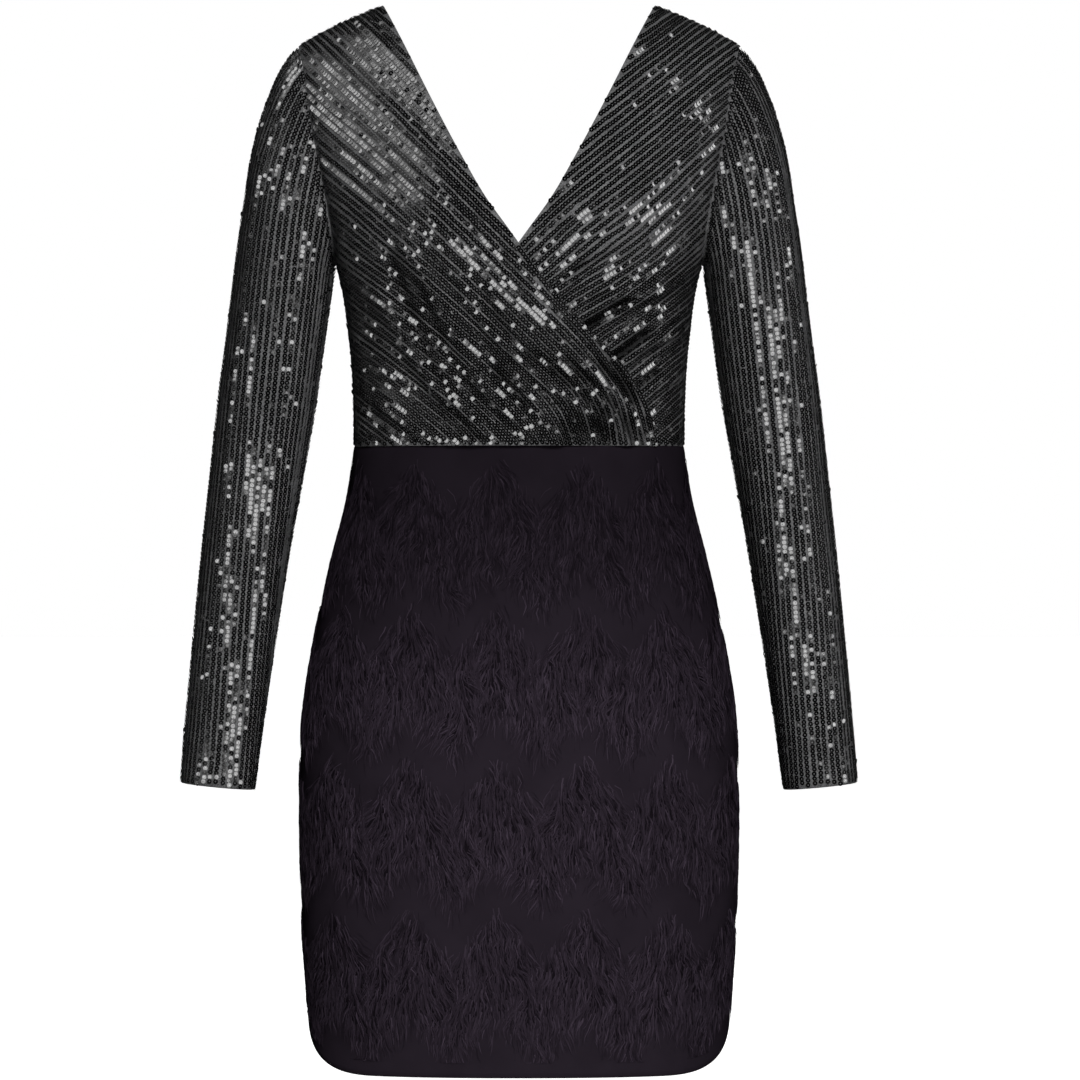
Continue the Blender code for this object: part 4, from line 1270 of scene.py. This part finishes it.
STRAND_DARK, STRAND_LIGHT = (0.029, 0.0219, 0.0312), (0.103, 0.0777, 0.1107)
# the strands' painted shade at the waist, a little darker than the cloth's
STRAND_WAIST_SHADE = WAIST_PAINTED_SHADE * 0.9
TIP_DARK, TIP_FADE = 0.8, (0.7, 1.1)  # the cloth's colour at this share is what strands fade to, and where

# Strands: matte, with a painted highlight down the middle of each lock and painted shade at its sides, over a
# tone that differs at random, and fading to the cloth's plum at their tips
strands, nodes, feed = new_material("fringe_strands", 0.9, Specular_IOR_Level=0.0)
own, share = mark_on(nodes, "own"), mark_on(nodes, "along")
height = part_of(nodes, place_on(nodes), 2)
# painted shade: the strands are darker towards the waist, as the cloth is
strand_waist_shade = height.between(WAIST_SHADE_GONE_Z * MM, WAIST_SHADE_FULL_Z * MM).colour((1, 1, 1), [STRAND_WAIST_SHADE] * 3)
light = (own * own).colour(STRAND_DARK, STRAND_LIGHT)
feed(Base_Color=share.between(*TIP_FADE).colour(light, [c * TIP_DARK for c in PLUM]).times(strand_waist_shade))

for name, half in (("front", 1), ("back", 2)):
    cloth_piece = bpy.data.objects[f"skirt_{name}_cloth"]
    pieces = []
    for part, tops in (("upper", TIER_TOPS[:2]), ("lower", TIER_TOPS[2:])):
        seed = FRINGE_SEED + 10 * half + len(pieces)
        piece = fringe_piece(f"fringe_{name}_{part}", skirts[name], tops, strands, seed)
        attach(piece, "root")
        pieces.append(piece)


# ---- Floor, light and camera ----------------------------------------------------------------------------
# A plain white studio: a pale floor, soft lights in front and behind, a beam on the skirt, and dim walls. The
# sequins mirror a dark room with a large panel and many small bright lamps in it, so they are dark but for
# their glints.

FLOOR_Z = -0.98  # metres, as all lengths in this section
FLOOR_HALF = 30
MIDDLE = (0.0, 0.0, -0.42)

floor_mesh = bpy.data.meshes.new("floor")
corners = [(x * FLOOR_HALF, y * FLOOR_HALF, FLOOR_Z) for x, y in ((-1, -1), (1, -1), (1, 1), (-1, 1))]
floor_mesh.from_pydata(corners, [], [(0, 1, 2, 3)])
floor = bpy.data.objects.new("floor", floor_mesh)
bpy.context.scene.collection.objects.link(floor)
paper, nodes, feed = new_material("pale_floor", 0.9, Emission_Strength=1.0, Emission_Color=(1, 1, 1, 1))
feed(Base_Color=noise(nodes, place_on(nodes), 3.0, 2.0).colour([0.86] * 3, [0.9] * 3))
floor_mesh.materials.append(paper)
floor.visible_glossy = floor.visible_diffuse = False

# Azimuth goes from the camera towards the wearer's left. These light the cloth and do not show in the sequins.
SoftLight = namedtuple("SoftLight", "name azimuth height distance width tall watts")
SOFT_LIGHTS = [
    SoftLight("key", 10, 22, 4.0, 0.9, 1.0, 62),
    SoftLight("low_fill", 24, -8, 4.0, 1.0, 0.8, 11),
    SoftLight("back_key", 170, 25, 4.0, 1.4, 1.4, 36),
]
for light in SOFT_LIGHTS:
    data = bpy.data.lights.new(light.name, "AREA")
    data.shape, data.size, data.size_y, data.energy = "RECTANGLE", light.width, light.tall, light.watts
    lamp = bpy.data.objects.new(light.name, data)
    turn, up = math.radians(light.azimuth), math.radians(light.height)
    level = light.distance * math.cos(up)
    x, y, z = level * math.sin(turn), -level * math.cos(turn), light.distance * math.sin(up)
    lamp.location = (MIDDLE[0] + x, MIDDLE[1] + y, MIDDLE[2] + z)
    lamp.rotation_euler = (math.pi / 2 - up, 0, turn)
    lamp.visible_camera = lamp.visible_glossy = False
    bpy.context.scene.collection.objects.link(lamp)

SKIRT_MIDDLE = (0.0, 0.0, -0.72)
BEAM_DISTANCE, BEAM_WIDTH, BEAM_HEIGHT = 4.6, 0.38, 1.5  # a soft-edged upright beam on the skirt
BEAM_WATTS, BEAM_LAMP = 184, 0.2  # the lamp's power and radius

beam_data = bpy.data.lights.new("skirt_beam", "SPOT")
beam_data.energy, beam_data.shadow_soft_size, beam_data.spot_blend = BEAM_WATTS, BEAM_LAMP, 1.0
beam_data.spot_size = 2 * math.atan(BEAM_HEIGHT / 2 / BEAM_DISTANCE)
beam = bpy.data.objects.new("skirt_beam", beam_data)
beam.location = (SKIRT_MIDDLE[0], SKIRT_MIDDLE[1] - BEAM_DISTANCE, SKIRT_MIDDLE[2])
beam.rotation_euler = (math.pi / 2, 0, 0)
beam.scale = (BEAM_WIDTH / BEAM_HEIGHT, 1, 1)
beam.visible_glossy = False
bpy.context.scene.collection.objects.link(beam)

WALLS = 0.02  # brightness of the walls before and behind the dress; the side walls are dark

# What the sequins mirror: dark walls, a large soft panel high on the left, and upright lamps. Angles are in
# degrees, and each lamp reaches half_width to each side of its middle, and half_tall up and down.
MIRRORED_WALLS = 0.02
PANEL_AZIMUTH, PANEL_HEIGHT, PANEL_BRIGHTNESS = -80, 44, 0.9
PANEL_CORE, PANEL_REACH = 16, 38  # how far from its middle it is fully bright, and where it ends

MirroredLamp = namedtuple("MirroredLamp", "azimuth height half_width half_tall brightness")
MIRRORED_LAMPS = [
    MirroredLamp(-84, -12, 2.6, 5, 8.4),
    MirroredLamp(-46, -12, 3.8, 6, 9.0),
    MirroredLamp(-14, -16, 5.0, 9, 9.0),
    MirroredLamp(20, -15, 4.2, 8, 9.2),
    MirroredLamp(58, -15, 4.6, 8, 8.8),
    MirroredLamp(94, -12, 5.0, 9, 8.6),
    MirroredLamp(-30, 12, 4.0, 7, 8.8),
    MirroredLamp(16, 10, 4.6, 6, 9.0),
    MirroredLamp(60, 8, 4.6, 6, 8.8),
    MirroredLamp(98, 12, 3.6, 6, 8.8),
    MirroredLamp(76, 46, 3.6, 5, 8.6),
    MirroredLamp(-62, 6, 3.4, 7, 8.8),
    MirroredLamp(-108, 42, 3.2, 16, 4.0),
    MirroredLamp(-98, 36, 3.4, 15, 6.6),
    MirroredLamp(-88, 43, 3.0, 20, 3.6),
    MirroredLamp(-79, 38, 3.4, 17, 7.2),
    MirroredLamp(-70, 45, 3.0, 18, 4.2),
    MirroredLamp(-61, 41, 3.2, 15, 6.8),
    MirroredLamp(-52, 48, 3.2, 14, 3.6),
    MirroredLamp(-42, 48, 3.2, 12, 5.6),
]

world = bpy.data.worlds.new("studio")
world.use_nodes = True
bpy.context.scene.world = world
room = Shade(world.node_tree)
backdrop = world.node_tree.nodes["Background"]
direction = room.node("ShaderNodeTexCoord", {}, {}, 0)
side_way, depth_way, up_way = (part_of(room, direction, axis) for axis in range(3))
walls = room.math("POWER", room.math("ABSOLUTE", depth_way), 2.0) * WALLS
azimuth, height = room.math("ARCTAN2", side_way, depth_way * -1), room.math("ARCSINE", up_way)
turn, up = math.radians(PANEL_AZIMUTH), math.radians(PANEL_HEIGHT)
panel_way = (math.cos(up) * math.sin(turn), -math.cos(up) * math.cos(turn), math.sin(up))
panel = room.node("ShaderNodeVectorMath", {"operation": "DOT_PRODUCT"}, {0: direction, 1: panel_way}, 1)
panel = panel.between(math.cos(math.radians(PANEL_REACH)), math.cos(math.radians(PANEL_CORE)))
glossy = panel * PANEL_BRIGHTNESS + MIRRORED_WALLS
for lamp in MIRRORED_LAMPS:
    beside = room.math("COMPARE", azimuth, math.radians(lamp.azimuth), math.radians(lamp.half_width))
    level = room.math("COMPARE", height, math.radians(lamp.height), math.radians(lamp.half_tall))
    glossy = room.math("MAXIMUM", glossy, beside * level * lamp.brightness)
seen = room.node("ShaderNodeLightPath", {}, {}, 0)
mirrored = room.node("ShaderNodeLightPath", {}, {}, 3)
strength = (walls * (1 - mirrored) + glossy * mirrored) * (1 - seen) + seen
world.node_tree.links.new(strength.socket, backdrop.inputs["Strength"])
backdrop.inputs["Color"].default_value = (1, 1, 1, 1)

CAMERA_X, CAMERA_Y, CAMERA_Z = 0.0172, -5.0, -0.4207
LENS = 203.25

camera_data = bpy.data.cameras.new("camera")
camera_data.lens, camera_data.sensor_width = LENS, 36.0
camera = bpy.data.objects.new("camera", camera_data)
camera.location = (CAMERA_X, CAMERA_Y, CAMERA_Z)
camera.rotation_euler = (math.pi / 2, 0, 0)
bpy.context.scene.collection.objects.link(camera)
bpy.context.scene.camera = camera
bpy.context.scene.view_settings.view_transform = "Standard"
